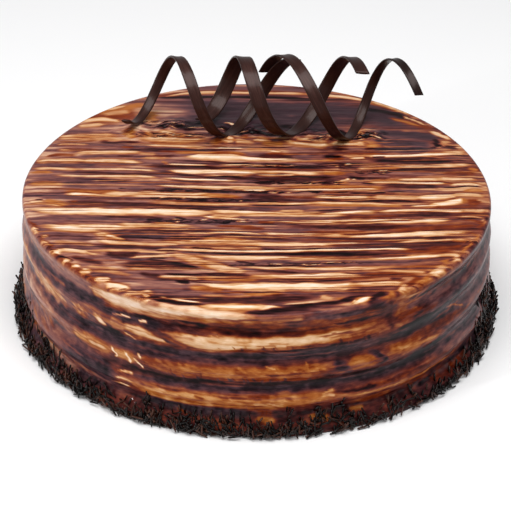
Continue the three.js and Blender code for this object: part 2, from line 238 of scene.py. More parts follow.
# ---- streaks dragged over the top: (colour, half width, points along the streak). A point may
# end with its own half width. ----
TOP_STREAKS = [
    # back: dark glossy glaze, its blue-grey sheen a painted reflection, with warm lines at its edge
    (RUST, 2.6, (-66, 98), (-40, 106), (0, 109), (36, 107)),
    (SLATE, 10, (-52, 91), (0, 88), (60, 84), (84, 68)),
    (SLATE, 9, (-48, 76), (0, 74), (50, 74)),
    (PLUM, 4, (-50, 70), (-20, 68), (10, 66), (50, 64)),
    (SLATE, 3, (-20, 80), (10, 84), (44, 82)),
    # dark patches round the curls' feet
    (BLACK, 2.8, (-51, 67, 1.2), (-42, 64.5, 2.8), (-33, 61, 2.0)),
    (BLACK, 2.2, (-24, 66, 1.2), (-13, 64, 2.4), (-4, 63, 1.4)),
    (BLACK, 2.0, (-3, 58, 1.2), (6, 57, 2.0), (14, 58, 1.0)),
    (BLACK, 2.2, (11, 69, 1.2), (20, 66.5, 2.2), (28, 64, 1.2)),
    (BLACK, 3.0, (38, 65, 1.2), (45, 61, 3.0), (52, 56, 1.6)),
    (MAROON, 2.0, (52, 60), (62, 57), (72, 55)),
    (AMBER, 0.8, (52, 64), (57, 61), (60, 57)),
    # painted highlights: small cream glints on the dark glaze by the feet
    (CREAM, 0.5, (-43, 66.6), (-39, 65.6)),
    (CREAM, 0.5, (-19, 71), (-12, 69.5)),
    (CREAM, 0.4, (53, 58.5), (57, 57)),
    (BLACK, 1.6, (-60, 99), (-40, 100), (0, 101.5), (34, 100.5)),
    (BROWN, 2.4, (-40, 111.5), (0, 113), (40, 110.5)),
    (SAND, 1.6, (-52, 101), (-36, 106), (0, 107), (30, 106.5)),
    (PALE, 2.0, (26, 107), (44, 105), (62, 100)),
    (AMBER, 1.2, (58, 99.5), (70, 93.5), (80, 85.5)),
    (SAND, 1.4, (62, 100), (74, 92.5), (84, 83.5)),
    (BLACK, 2.0, (56, 90.5), (70, 86.5), (86, 78.5)),
    (RUST, 2.5, (72, 80.5), (84, 73.5), (96, 66.5)),
    (AMBER, 1.0, (74, 78.5), (88, 70.5)),
    (SAND, 0.8, (80, 82.5), (92, 71.5)),
    (PALE, 1.6, (94, 64.5), (99, 60.5), (104, 55.5)),
    # left back
    (RUST, 8, (-96, 71), (-80, 77), (-66, 82)),
    (AMBER, 3, (-90, 80.5), (-76, 86.5), (-62, 92.5)),
    (SAND, 1.2, (-84, 84.5), (-74, 89.5)),
    (CARAMEL, 2.2, (-86, 78.5), (-70, 82.5)),
    (PALE, 2.0, (-97, 70.5), (-86, 72.5), (-75, 70.5)),
    (SAND, 2.0, (-98, 64.5), (-84, 66.5)),
    (AMBER, 4, (-62, 82.5), (-56, 68.5)),
    (BROWN, 2.2, (-105, 56), (-98, 57.5), (-88, 57)),
    (SAND, 2.6, (-108, 51), (-98, 52), (-86, 53), (-76, 54)),
    (CARAMEL, 2.4, (-96, 49), (-84, 50), (-74, 50)),
    (RUST, 0.8, (-108, 46), (-96, 46), (-86, 47.5)),
    (AMBER, 2.4, (-70, 61), (-69, 55), (-69, 50.5)),
    (RUST, 1.2, (-71.5, 59), (-70.5, 53)),
    (DARK, 1.5, (-85, 47.5), (-79, 45.3), (-71, 46.5), (-60, 46)),
    (SAND, 1.0, (-108, 43), (-100, 43), (-91, 42.5)),
    (ROSE, 1.3, (-110, 39.8), (-92, 40.3), (-76, 39.8)),
    # mottled ground before the curls' feet
    (CARAMEL, 5.0, (-66, 53), (-46, 52), (-27, 51)),
    (SAND, 2.4, (-64, 51), (-46, 50), (-30, 50)),
    (AMBER, 1.6, (-46, 56), (-40, 54)),
    (AMBER, 1.2, (-62, 56), (-57, 54)),
    (SAND, 1.2, (-53, 58.5), (-48, 57), (-45, 56)),
    (PALE, 1.6, (-44, 50), (-30, 49.5)),
    (RUST, 0.6, (-60, 46.5), (-50, 46.3), (-38, 46), (-28, 45)),
    (AMBER, 3.0, (-24, 50), (-20, 46)),
    (SAND, 2.8, (-17, 51), (-14, 47)),
    (PALE, 0.8, (-16, 52), (-13, 50)),
    (CARAMEL, 2.6, (-12, 49), (-2, 48)),
    (RUST, 1.4, (-10, 53), (-5, 54.5)),
    (SAND, 1.6, (-2, 51), (8, 50.5)),
    (AMBER, 2.6, (2, 47.3), (9, 47), (15, 47)),
    (SAND, 3.0, (15, 50.5), (22, 47.5), (30, 46), (39, 45.5)),
    (PALE, 1.4, (17, 49), (26, 46.6), (38, 45.6)),
    (SAND, 2.0, (20, 53), (38, 50)),
    (SAND, 1.9, (38, 47), (48, 48.2), (58, 47.7)),
    (PALE, 1.0, (42, 47), (54, 47.4)),
    (AMBER, 2.0, (58, 46.5), (67, 46.5)),
    (CARAMEL, 0.9, (67, 46), (73, 44.8)),
    (ROSE, 1.8, (47, 43.2), (57, 43)),
    (PLUM, 3.0, (60, 42.5), (78, 42.7), (94, 43.8)),
    (SLATE, 4.4, (60, 54), (78, 51), (94, 48)),
    (SLATE, 4.6, (60, 62), (84, 60), (98, 56)),
    (BROWN, 1.6, (66, 57), (80, 54.5), (92, 52)),
    (BLACK, 1.8, (96, 56), (96.5, 50), (94, 44.5)),
    (CARAMEL, 2.2, (98.5, 52), (104, 52)),
    (DARK, 2.2, (99, 47), (107, 45.5)),
    (DARK, 1.0, (-30, 43.2), (-22, 43.3), (-15, 42.6)),
    (PALE, 1.4, (-60, 42.3), (-50, 43), (-38, 42.3), (-26, 41.5)),
    (CREAM, 0.5, (-22, 41), (-14, 41.3), (-7, 41)),
    (DARK, 0.9, (1, 42.9), (9, 42.6), (16, 43)),
    (ROSE, 1.3, (17, 42.2), (32, 41.5)),
    (DARK, 2.0, (41, 43), (46.5, 42.5)),
    (RUST, 1.0, (-74, 40.6), (-66, 40.4)),
    (DARK, 1.0, (-70, 38.2), (-60, 38.6), (-50, 38.8)),
    (BLACK, 1.0, (-54, 38.6), (-42, 39.1), (-30, 38.6), (-18, 39.7), (-7, 39.7)),
    (CARAMEL, 1.6, (-6, 39.7), (8, 40)),
    # painted highlight: a cream glint
    (CREAM, 0.8, (7, 38.4), (12, 38)),
    (ROSE, 1.6, (15, 39.6), (34, 39.4)),
    (SAND, 1.1, (-108, 36.3), (-96, 37), (-84, 36)),
    (RUST, 1.0, (-56, 36.3), (-44, 36.5), (-31, 37)),
    (AMBER, 1.3, (-46, 34.6), (-30, 35.6), (-14, 36), (-6, 34)),
    (PALE, 1.7, (-98, 33.3), (-84, 34.4), (-72, 35), (-61, 34.5)),
    (CARAMEL, 1.5, (-64, 33.8), (-54, 33.2)),
    (DARK, 0.8, (-56, 31.8), (-50, 31.8), (-43, 32.3)),
    (SAND, 2.2, (85, 37.3), (98, 38.3), (111, 41)),
    (CREAM, 1.3, (58, 34.8), (70, 35.4), (86, 36.8), (108, 38.5)),
    (RUST, 1.2, (46, 37.5), (56, 37.7), (72, 38)),
    (CARAMEL, 1.0, (47, 34), (58, 35)),
    (PALE, 0.8, (49, 32), (57, 33.4)),
    (BLACK, 0.7, (61, 33.8), (68, 34.6)),
    (DARK, 1.9, (-1, 33), (10, 33.5), (21, 33.3)),
    (RUST, 1.0, (3, 35.6), (24, 36.4)),
    (BROWN, 2.0, (20, 33), (30, 34.3)),
    (BLACK, 2.0, (35, 33.5), (45, 34)),
    (RUST, 1.3, (36, 31.3), (47, 31.5)),
    # middle, from the back to the front
    (RUST, 1.5, (-113, 29), (-105, 31.5), (-96, 30.6)),
    (BROWN, 1.8, (-96, 29.6), (-80, 30.4), (-68, 30.2)),
    (DARK, 0.8, (-74, 31), (-66, 31)),
    (BROWN, 1.4, (-70, 28.3), (-60, 28)),
    (CARAMEL, 1.6, (-60, 29.5), (-47, 29.5)),
    (CREAM, 2.6, (-38, 30.4, 1.2), (-30, 31.6, 2.6),
     (-16, 31.8, 3.0), (-4, 30, 1.6), (10, 29.6, 1.3), (30, 29.5, 1.2)),
    (AMBER, 1.0, (28, 29.6), (42, 29.8)),
    (BLACK, 2.6, (60, 30, 1.8), (76, 30.3, 2.8), (86, 30, 2.4), (105, 29.4, 1.4)),
    (DARK, 1.2, (60, 32), (80, 33), (100, 33)),
    (BROWN, 1.5, (100, 33.3), (114, 33)),
    (DARK, 0.9, (-45, 27), (-34, 26.5), (-24, 26.2), (-14, 25), (0, 26.6)),
    (RUST, 0.6, (16, 27.8), (36, 27.4)),
    (BLACK, 0.7, (-15, 25), (-8, 24.9), (-4, 24.4)),
    (BLACK, 0.7, (1, 25.2), (16, 24.6)),
    (ROSE, 1.2, (18, 25.5), (32, 24.6)),
    (BLACK, 0.7, (34, 26.6), (46, 26.4), (56, 27)),
    (PALE, 1.9, (-118, 23.6), (-104, 25), (-90, 24.4)),
    (CREAM, 1.9, (-94, 24.2), (-78, 25), (-61, 24.6)),
    (AMBER, 0.8, (-50, 26), (-48.6, 23)),
    (DARK, 0.6, (-56, 22.9), (-50, 22.9)),
    (CREAM, 0.8, (-48, 23.2), (-36, 22.1), (-26, 21.8)),
    (CREAM, 0.6, (-21, 22.6), (-8, 23), (6, 22.6), (25, 23)),
    (SAND, 1.7, (53, 24), (66, 24), (80, 24.4), (94, 25), (106, 26.3), (114, 27.6)),
    (AMBER, 0.8, (54, 21.9), (76, 22.4)),
    (BLACK, 0.6, (72, 21.4), (90, 22), (108, 23.6)),
    (AMBER, 2.2, (112, 24.6), (115, 20.5)),
    (BROWN, 2.0, (-118, 19.5), (-106, 18.8), (-92, 19.4), (-78, 20.3)),
    (BROWN, 1.7, (-84, 20.4), (-63, 21)),
    (DARK, 2.0, (-61, 20.4), (-46, 20), (-30, 19.8), (-10, 20)),
    (BLACK, 0.5, (-50, 21.7), (-36, 20.9), (-20, 21)),
    (BLACK, 0.7, (-4, 20.8), (14, 21.1), (34, 22)),
    (RUST, 0.8, (-20, 18.9), (0, 18.6), (22, 18.8), (44, 18.5)),
    (DARK, 1.4, (42, 21), (54, 22)),
    (DARK, 1.2, (56, 19.5), (80, 19.8), (96, 19)),
    (BLACK, 0.7, (64, 17.6), (70, 19), (84, 19.5)),
    (ROSE, 1.4, (56, 16.5), (80, 16.4), (94, 16)),
    (BLACK, 0.5, (63, 15), (69, 17.2)),
    (RUST, 2.6, (96, 18), (106, 18), (114, 17.6)),
    (AMBER, 1.3, (-118, 12.4), (-107, 12)),
    (SAND, 1.3, (-118, 16), (-104, 16.2), (-93, 15.4)),
    (PALE, 1.0, (-97, 15.5), (-80, 16.2), (-66, 16.1), (-52, 15)),
    (CREAM, 2.4, (-47, 15.6, 0.8), (-38, 15.2, 2.2),
     (-26, 14.5, 2.8), (-10, 14.5, 2.9), (2, 14.4, 2.4)),
    (PALE, 1.7, (-4, 16, 0.9), (12, 16, 0.9), (20, 15, 1.9), (34, 14.4, 1.6)),
    (PALE, 0.8, (-2, 12.3), (10, 12.2), (20, 12.9)),
    (AMBER, 0.7, (1, 14), (12, 14.2)),
    (AMBER, 1.6, (34, 15.2), (46, 15.8)),
    (ROSE, 0.8, (56, 13.2), (70, 13.1)),
    (DARK, 1.3, (-98, 12.3), (-85, 12.6), (-73, 11.6), (-63, 10.4), (-56, 9.4)),
    (RUST, 0.7, (-92, 10.8), (-76, 10.3), (-62, 9)),
    (DARK, 1.5, (-51, 13.5, 0.8), (-46, 12.6, 1.5), (-38, 10.8, 1.3), (-24, 9.4, 1.2)),
    (BLACK, 0.9, (-30, 9.5), (-15, 10.4), (-2, 9.4), (20, 9)),
    (DARK, 1.9, (-18, 8.8), (8, 8.4), (26, 9), (42, 10)),
    (RUST, 0.6, (-42, 8.4), (-24, 7.9)),
    (BLACK, 1.0, (16, 10.6), (21, 11.5), (28, 10.8), (38, 11)),
    (BLACK, 1.4, (47, 11.5), (56, 10.8)),
    (DARK, 1.3, (56, 11), (68, 11)),
    (PALE, 1.4, (73, 10), (86, 10.2), (100, 10.3)),
    (SAND, 2.1, (94, 10.6), (114, 10.6)),
    (AMBER, 0.9, (59, 8.8), (75, 9.3)),
    # painted highlights: the two short cream dashes here are glints, with amber glaze between
    (CREAM, 0.7, (43, 7.4), (47.5, 10)),
    (AMBER, 1.2, (42, 5.6), (47.5, 6.2)),
    (CREAM, 0.4, (48.4, 8.6), (49.8, 10.4)),
    (PALE, 1.2, (-107, 8.8), (-92, 8), (-78, 8.4), (-62, 8.5), (-50, 7.8)),
    (CREAM, 0.8, (-50, 7.6), (-38, 6.5), (-24, 6.1), (-9, 5.4)),
    (CREAM, 1.1, (55, 6), (70, 6.5), (86, 6.6), (99, 6.8)),
    (PALE, 1.4, (101, 4.6), (108, 6), (117, 5.4)),
    (RUST, 0.8, (96, 7.3), (102, 6.8)),
    (BLACK, 0.8, (54, 5.2), (60.5, 4.5)),
    (BLACK, 0.6, (-49, 5.5), (-42, 4.9), (-34, 4.3), (-25, 4.2)),
    (BROWN, 3.1, (-117, 5, 2.0), (-104, 4, 3.1), (-85, 4, 3.1), (-62, 3, 2.2)),
    (DARK, 1.2, (-84, 4.6), (-66, 4)),
    (BROWN, 1.9, (-64, 3), (-45, 2.6), (-28, 2.7)),
    (ROSE, 1.2, (-11, 5.2), (-2, 4.6)),
    (BLACK, 1.7, (0, 4.6), (9, 4.4)),
    (DARK, 1.3, (9, 5.2), (22, 5.6), (33, 5.2)),
    (BLACK, 1.6, (32, 4.8), (39, 5.6)),
    (BLACK, 0.8, (40.5, 5.6), (42.5, 3.2)),
    (DARK, 2.1, (64, 3), (80, 3.2), (96, 3)),
    (BLACK, 0.7, (96, 2.4), (105, 3.2), (111, 4.6), (118, 3.4)),
    (AMBER, 2.1, (-118, -0.6), (-109, 0.6), (-99, 0)),
    (BROWN, 2.4, (-101, -2.4), (-88, -1.8), (-73, -1.8)),
    (PALE, 2.0, (-54, 0, 0.6), (-40, -0.8, 1.0), (-26, -1.6, 2.0), (-8, -1.8, 2.1), (14, -2, 1.7)),
    (AMBER, 1.9, (12, 0.6), (30, 1), (52, 0.8), (66, 0)),
    (CREAM, 1.0, (12, -2.9), (36, -2.6), (52, -1.9), (62, -1)),
    (CREAM, 1.2, (-8, -4.2), (6, -4)),
    (AMBER, 1.4, (106, -0.6), (117, 0)),
    (BROWN, 1.6, (64, -2.2), (80, -2.3), (100, -2.6)),
    (BLACK, 0.6, (66, -3.4), (76, -3.1)),
    # front half
    (RUST, 1.0, (-113, -5.4), (-95, -6), (-80, -6.6), (-70, -6)),
    (BLACK, 0.6, (-71, -3.8), (-69, -4.6)),
    (BLACK, 0.6, (-60, -4.6), (-52, -6.3)),
    (BLACK, 0.6, (-50, -5.2), (-46, -3.6), (-40, -3.9), (-38, -5)),
    (ROSE, 1.0, (-46, -5.2), (-30, -5.3)),
    (BLACK, 0.8, (-49.5, -5.6), (-42, -7.1), (-32, -7.2), (-24, -6.6), (-18, -6.6)),
    (BLACK, 0.8, (-33, -3.8), (-27, -4.7), (-21, -4.4)),
    (BLACK, 0.9, (-20, -6.6), (-13.5, -6.4)),
    (DARK, 1.4, (-16, -5.4), (2, -6.4)),
    (BLACK, 1.0, (-2, -6.2), (6, -6.5)),
    (BLACK, 1.1, (7.5, -6), (12, -6.2)),
    (ROSE, 1.2, (12, -6), (28, -6.2)),
    (BLACK, 0.7, (27, -4.7), (32, -6)),
    (RUST, 0.9, (32, -5.4), (46, -5)),
    (BLACK, 0.6, (40, -4.7), (47, -4.6)),
    (DARK, 1.1, (45, -5.2), (58, -5.4), (75, -5.4)),
    (BLACK, 0.8, (59, -5.1), (66, -4.4)),
    (AMBER, 1.7, (-99, -8), (-86, -8.6), (-68, -7.8)),
    (CREAM, 1.3, (-98, -10.4), (-88, -11.1), (-76, -11.6), (-66, -11.2)),
    (SAND, 1.9, (-80, -9.5), (-66, -9.6), (-50, -9)),
    (PALE, 1.4, (-60, -7.6), (-48, -9), (-36, -9), (-20, -9.2)),
    (AMBER, 1.6, (-30, -10.4), (-18, -10.2), (-8, -10.8)),
    (PALE, 1.1, (-68, -12.2), (-50, -12.2), (-35, -12.1), (-24, -11.8)),
    (RUST, 0.8, (-22, -12), (-6, -11)),
    (DARK, 2.7, (-6, -9.6), (4, -10.4), (14, -11)),
    (RUST, 1.1, (12, -9.8), (30, -10.2)),
    (CREAM, 1.1, (28, -9.2), (44, -9.4), (60, -9)),
    (SAND, 1.9, (58, -8.8), (72, -8.8), (86, -8.6)),
    (CREAM, 2.3, (82, -8.6, 1.6), (92, -8, 2.4), (104, -6.4, 1.7)),
    (SAND, 1.6, (100, -5.4), (117, -6)),
    (RUST, 4.2, (107, -13), (114, -13)),
    (AMBER, 1.6, (105.5, -14), (106.5, -9)),
    (CREAM, 2.3, (86, -16.4, 1.0), (94, -14.8, 2.2), (103, -11.8, 2.3), (105, -9.6, 1.4)),
    (CREAM, 0.8, (78, -17.4), (92, -16.6)),
    (DARK, 1.4, (43, -12.6), (58, -12.4), (74, -12.6), (90, -13)),
    (BLACK, 0.9, (56, -12.4), (63, -13.4)),
    (BLACK, 0.6, (66, -11.9), (80, -12.5)),
    (BROWN, 2.4, (-113, -13, 2.2), (-100, -14, 2.4),
     (-85, -14.4, 1.8), (-60, -14.4, 1.6), (-20, -14.6, 1.4)),
    (BLACK, 0.6, (-50, -14.8), (-44, -13.8), (-34, -13.5), (-25, -14.6)),
    (BLACK, 0.7, (-48, -15), (-42, -16), (-34, -16.4), (-25, -15.2)),
    (BLACK, 0.7, (-31, -15), (-25, -14.4)),
    (BLACK, 0.7, (-17, -15.2), (-12, -14.6)),
    (DARK, 0.9, (-10, -14), (20, -13)),
    (BLACK, 0.7, (-1, -15.2), (11, -15)),
    (DARK, 1.2, (33, -13.2), (43, -13)),
    (BLACK, 0.6, (-113, -17), (-109, -17)),
    (CARAMEL, 0.9, (-57, -18), (-40, -18), (-24, -18.2)),
    (SAND, 0.9, (-30, -18.1), (-16, -18), (-2, -17.6)),
    (PALE, 1.0, (-4, -17.4), (12, -17), (24, -16.6), (32, -15.6)),
    (PALE, 1.3, (24, -16), (40, -15.6), (58, -16.2), (74, -17.4)),
    (AMBER, 1.1, (28, -18), (50, -18.1), (74, -18)),
    (PALE, 0.8, (-115, -19), (-109, -19.3)),
    (AMBER, 2.3, (-109, -18.6), (-103, -20), (-96, -22.2)),
    (SAND, 0.7, (-113, -21), (-105, -22), (-99, -24)),
    (DARK, 3.3, (-98, -20, 2.6), (-86, -20, 3.3), (-72, -20.4, 2.8)),
    (DARK, 2.3, (-80, -20), (-60, -20.5), (-40, -21.4), (-18, -21.6)),
    (RUST, 1.1, (-95, -19), (-91, -18.4)),
    (BLACK, 0.5, (-49, -23), (-38, -22.8), (-27, -22.9)),
    (BLACK, 0.5, (-6, -18.9), (12, -18.7), (25, -18.2)),
    (BROWN, 1.8, (-18, -21), (0, -21.2), (20, -21), (45, -21), (74, -19.8)),
    (CARAMEL, 1.1, (12, -24), (24, -23.6)),
    (BLACK, 0.6, (30, -23.5), (37, -23), (44, -22)),
    (RUST, 1.8, (88, -19), (102, -18.6), (114, -18)),
    (CREAM, 3.3, (-114, -26.6, 1.6), (-104, -28, 2.9), (-82, -28.2, 3.4),
     (-60, -27.6, 3.1), (-38, -27.4, 3.2), (-20, -27.2, 2.8)),
    (CREAM, 1.5, (-24, -26), (-12, -26), (0, -27), (18, -27.5), (34, -27)),
    (CREAM, 1.1, (30, -26.6), (42, -25.6), (52, -24.7), (63, -23.8)),
    (CREAM, 1.3, (60, -24), (72, -22.7), (84, -21.9), (98, -22), (110, -21.2, 1.6)),
    (SAND, 1.4, (104, -21), (112, -21.2), (116.5, -20)),
    (SAND, 1.3, (-8, -29.6), (14, -29.2), (30, -28.8), (46, -27.8)),
    (CREAM, 0.8, (-28, -30.6), (-18, -32.1), (-7, -33.2)),
    (SAND, 1.2, (-24, -29.8), (-8, -30.2)),
    (RUST, 0.9, (42, -29.4), (56, -29), (73, -27.5)),
    (DARK, 1.9, (72, -25.2), (86, -25), (101, -24.6)),
    (BROWN, 1.6, (-12, -31.2), (6, -31.5), (22, -31.6), (44, -31)),
    (BROWN, 2.9, (-111, -34, 2.0), (-92, -34.6, 2.9),
     (-70, -34.6, 2.9), (-40, -35, 2.6), (-10, -35.6, 2.0)),
    (DARK, 1.0, (-78, -33), (-62, -32.6), (-44, -32.8)),
    (BLACK, 0.6, (-42, -32.3), (-38, -33), (-36.6, -35.4)),
    (CREAM, 0.5, (-45, -34.5), (-39, -34)),
    (BLACK, 0.7, (-55.5, -37), (-52.5, -37)),
    (BLACK, 0.6, (-29, -35), (-27, -36.8)),
    (BLACK, 0.7, (-26.5, -37.3), (-22.5, -37.2)),
    (BLACK, 0.8, (-17, -37.4), (-12.5, -36.6)),
    (BLACK, 0.8, (3, -37), (10, -37.6)),
    (RUST, 1.2, (0, -36), (10, -36)),
    (CREAM, 1.5, (6, -35.2, 1.0), (20, -35.3, 1.2), (36, -34.4, 1.4), (50, -33.2, 1.8),
     (64, -33, 2.2), (80, -32.4, 2.0), (92, -31, 1.6), (101, -29.6, 1.0)),
    (CARAMEL, 0.7, (98, -27.6), (106, -27.4), (112, -28), (114.4, -30), (113, -35)),
    (RUST, 1.3, (101, -30), (108, -30.6), (112, -33), (111, -40)),
    (BLACK, 0.6, (58, -35.4), (62, -35.8)),
    (BLACK, 0.7, (34, -37.6), (38, -36.9), (46, -36.4)),
    (DARK, 2.1, (10, -39, 1.6), (40, -39.6, 2.1), (60, -39.6, 2.1), (82, -37.4, 1.6)),
    (MAROON, 1.5, (42, -39.6), (60, -39.6), (74, -38.4)),
    (RUST, 2.2, (64, -42), (82, -40), (100, -37.6), (110, -36)),
    (RUST, 1.2, (-22, -40.2), (-8, -40.4), (-2, -40)),
    (RUST, 1.8, (-8, -42), (4, -42.2)),
    (BROWN, 1.6, (4, -43), (30, -43)),
    (RUST, 1.3, (20, -44.4), (40, -44.4), (58, -44.2)),
    (CREAM, 1.4, (-111.5, -43), (-109.7, -46), (-108, -49.4)),
    (RUST, 1.2, (-114.5, -36), (-112.5, -40), (-109.8, -43)),
    (CREAM, 2.8, (-109, -42.2, 2.0), (-98, -43.8, 3.0), (-84, -44.6, 3.2),
     (-74, -43, 2.2), (-60, -42.4, 1.4), (-44, -42.2, 0.9), (-27, -42, 0.5)),
    (SAND, 1.4, (-70, -39.8), (-50, -40), (-32, -40.4)),
    (AMBER, 0.9, (-52, -38.4), (-40, -38)),
    (RUST, 0.7, (-108, -47.6), (-98, -47.8), (-85, -48.8), (-78, -48.6)),
    (DARK, 2.2, (-79, -47, 0.8), (-66, -47.4, 1.6), (-50, -46.6, 2.4),
     (-36, -45.6, 2.2), (-20, -44.8, 1.4), (-6, -44.2, 1.0)),
    (CREAM, 0.6, (-38, -48.8), (-28, -48.1), (-19, -47.2), (-10, -46.8), (-2, -47.2), (6, -48)),
    (BLACK, 0.5, (-50, -47.5), (-46.5, -48)),
    (BLACK, 0.5, (-44.5, -47.5), (-36.5, -47.2)),
    (BLACK, 2.0, (-72, -48.8, 0.9), (-66, -50.8, 2.0), (-58, -51.8, 2.2),
     (-46, -52.2, 1.9), (-34, -51.6, 1.5), (-20, -50.6, 1.3), (-8, -50.2, 1.0)),
    (DARK, 1.5, (-26, -49.8), (-10, -49.8), (6, -51.4), (22, -53)),
    (BLACK, 0.8, (-14, -47.9), (-6, -49)),
    (PALE, 1.3, (2, -46.8), (14, -47.4), (26, -47.2), (36, -47.2), (46, -47.6)),
    (CREAM, 1.9, (42, -47.8, 0.9), (56, -47.6, 1.4), (68, -46.4, 2.1),
     (84, -44.6, 1.9), (98, -43.4, 1.7), (107, -42, 1.4)),
    (AMBER, 0.7, (106.5, -42.4), (109.6, -45), (108.4, -49.5)),
    (DARK, 1.1, (26, -50.4), (44, -50), (60, -50), (75, -49.4), (90, -48.6), (105, -47)),
    (RUST, 0.9, (20, -52.4), (44, -52), (70, -52)),
    (SAND, 0.8, (68, -53), (82, -51.6), (96, -50.2), (105.5, -49)),
    (AMBER, 0.8, (105.5, -49.4), (106, -53), (103.4, -58), (100, -63)),
    (AMBER, 1.3, (97, -50.8), (104, -52)),
    (BROWN, 3.2, (-104, -51, 2.0), (-92, -53, 3.4), (-79, -54.4, 2.8)),
    (SAND, 2.2, (-79, -49.4), (-73, -51.5), (-67, -55.5)),
    (SLATE, 2.0, (-72, -48.4, 0.8), (-58, -50.4, 2.2), (-42, -51.6, 1.2)),
    (CREAM, 0.8, (-75, -50.2), (-69, -53.2), (-64, -56)),
    (PALE, 1.7, (-76, -55), (-71, -57.3), (-60, -57.5)),
    (SAND, 1.3, (-70, -58), (-56, -58.2), (-44, -58.6), (-36, -58)),
    (RUST, 1.0, (-48, -55), (-37, -54.4)),
    (SAND, 2.5, (-42, -56.4, 1.2), (-28, -55.4, 2.6), (-10, -55.2, 2.6), (8, -56, 1.8)),
    (PALE, 1.2, (-36, -55.4, 0.8), (-24, -54.8, 1.6), (-12, -54.9, 1.2)),
    (PALE, 1.7, (-8, -57, 1.0), (10, -57.4, 1.8), (26, -57, 1.5), (42, -55.3, 0.9), (56, -54.6, 0.5)),
    (AMBER, 0.8, (-28, -53), (-14, -52.8), (-4, -53.5)),
    (DARK, 2.2, (54, -56.4), (70, -55.7), (84, -54.6), (97, -53.4)),
    (RUST, 2.6, (82, -59.4), (96, -58), (102, -55.6)),
    (BROWN, 1.5, (4, -60.4), (20, -60.4), (36, -59), (52, -58)),
    (CARAMEL, 1.9, (-38, -60.6), (-20, -60.6), (-4, -60.6), (4, -61)),
    (BLACK, 0.5, (-32, -61), (-21, -61.6)),
    (BLACK, 0.7, (25, -61.2), (31.5, -60.2)),
    (BLACK, 0.7, (42, -59.2), (48, -60)),
    (BLACK, 0.5, (5.5, -62.2), (8.5, -62)),
    (CREAM, 0.8, (-47, -63), (-35, -63.3), (-20, -63.9), (0, -64),
     (14, -63.6), (28, -62.6), (42, -61.2), (56, -60.3), (70, -59.8), (77, -60.2)),
    (DARK, 0.8, (-49, -64.6), (-38, -64.3)),
    (BLACK, 1.2, (-38, -64.8, 0.6), (-20, -66, 1.2), (-4, -66.4, 1.2),
     (10, -66.2, 1.1), (26, -65.8, 1.4), (42, -65, 1.8), (56, -64.2, 1.7), (76, -63, 0.7)),
    (RUST, 1.5, (70, -61.8), (84, -61.8), (97, -60.8)),
    (CARAMEL, 1.2, (-99, -58), (-88, -59), (-78, -60.6)),
    (BROWN, 1.6, (-100, -61.4), (-88, -62.6), (-77, -64.4)),
    (DARK, 1.8, (-79, -62.2), (-66, -61.6), (-55, -61.6), (-47, -62)),
    (CARAMEL, 1.1, (-81, -66), (-70, -65), (-60, -64.8), (-54, -64.6)),
    (SAND, 0.5, (-58, -66), (-50, -66), (-43, -66.5)),
    (DARK, 2.7, (-74, -68.6), (-64, -68.6), (-56, -68)),
    (SLATE, 3.0, (-66, -71, 1.2), (-54, -75.5, 3.2), (-42, -79.6, 2.4), (-28, -81.5, 1.2)),
    (SAND, 0.8, (-82, -68), (-75, -69.5)),
    (PALE, 1.1, (-62, -71, 0.9), (-54, -69.8, 1.1), (-44, -69.1, 1.1), (-36, -67.6, 1.4)),
    (SAND, 2.4, (-40, -67.6), (-33, -70), (-26, -73)),
    (PALE, 1.8, (-34, -68.6, 1.0), (-20, -69.5, 1.4),
     (-4, -70, 1.8), (10, -70.2, 1.9), (26, -70, 1.7), (44, -69.8, 1.3)),
    (CREAM, 1.2, (40, -70), (60, -69), (78, -67.4), (90, -65.2), (98, -63.4, 1.6)),
    (PALE, 1.5, (90, -65.4), (96.5, -63.8), (97.6, -66.5), (95, -71)),
    (AMBER, 1.5, (92.5, -68.6), (90, -72)),
    (BROWN, 2.3, (-6, -73), (10, -73.6), (26, -73.4), (45, -73.6), (66, -72.2), (86, -69.6)),
    (BLACK, 0.7, (-19, -75), (-14, -77), (-10, -76.4)),
    (BLACK, 0.7, (-10.5, -73.3), (-4, -74), (0, -76.8)),
    (BLACK, 0.6, (3, -77.2), (12, -77.3), (20, -76.8), (29, -78.2)),
    (SAND, 3.0, (-34, -71.5), (-25, -75.5), (-14, -79.5)),
    (AMBER, 1.5, (-28, -76), (-21, -79.5)),
    (PALE, 2.8, (-25, -77.6, 1.2), (-14, -81, 2.9), (-4, -83, 2.0)),
    (PALE, 1.2, (-8, -78), (6, -79.6), (18, -79), (30, -79.6), (46, -78.4), (60, -77.4), (73, -76.4)),
    (AMBER, 1.2, (72, -76.6), (86, -76.2)),
    (DARK, 4.2, (-67, -77, 2.6), (-54, -78, 4.2), (-38, -79.4, 3.2), (-27, -81, 1.2)),
    (BLACK, 1.4, (-55, -72.4, 0.7), (-45, -74.2, 1.4), (-36, -77.2, 1.4), (-25, -81.2, 0.7)),
    (BLACK, 0.9, (-52, -71.3), (-43, -71.5)),
    (DARK, 2.1, (-90, -71), (-82, -74), (-73, -77.6)),
    (ROSE, 2.8, (-79, -70.6), (-72, -72.6), (-70, -76)),
    (CARAMEL, 0.8, (-81, -79.4), (-72, -81), (-65, -82.2)),
    (AMBER, 0.7, (-62, -82.6), (-54, -82), (-47, -81.6)),
    (DARK, 1.4, (-2, -81.6), (12, -82.4), (21, -83)),
    (BROWN, 1.4, (21, -82), (34, -81.6), (46, -81.4), (62, -82)),
    (SAND, 1.3, (60, -79.8), (74, -80.4), (82, -81)),
    (RUST, 2.2, (50, -84.2), (64, -83.6), (79, -83.4)),
    (CREAM, 1.9, (-8, -87, 0.8), (10, -87, 1.4), (24, -86, 1.8), (40, -85, 1.9), (54, -85, 0.8)),
    (CARAMEL, 1.3, (-79, -83), (-68, -85), (-59, -87.6)),
    (BLACK, 0.9, (-44, -86), (-34, -86.3), (-24, -86)),
    (DARK, 1.5, (-30, -85.6), (-14, -85.8), (-2, -86)),
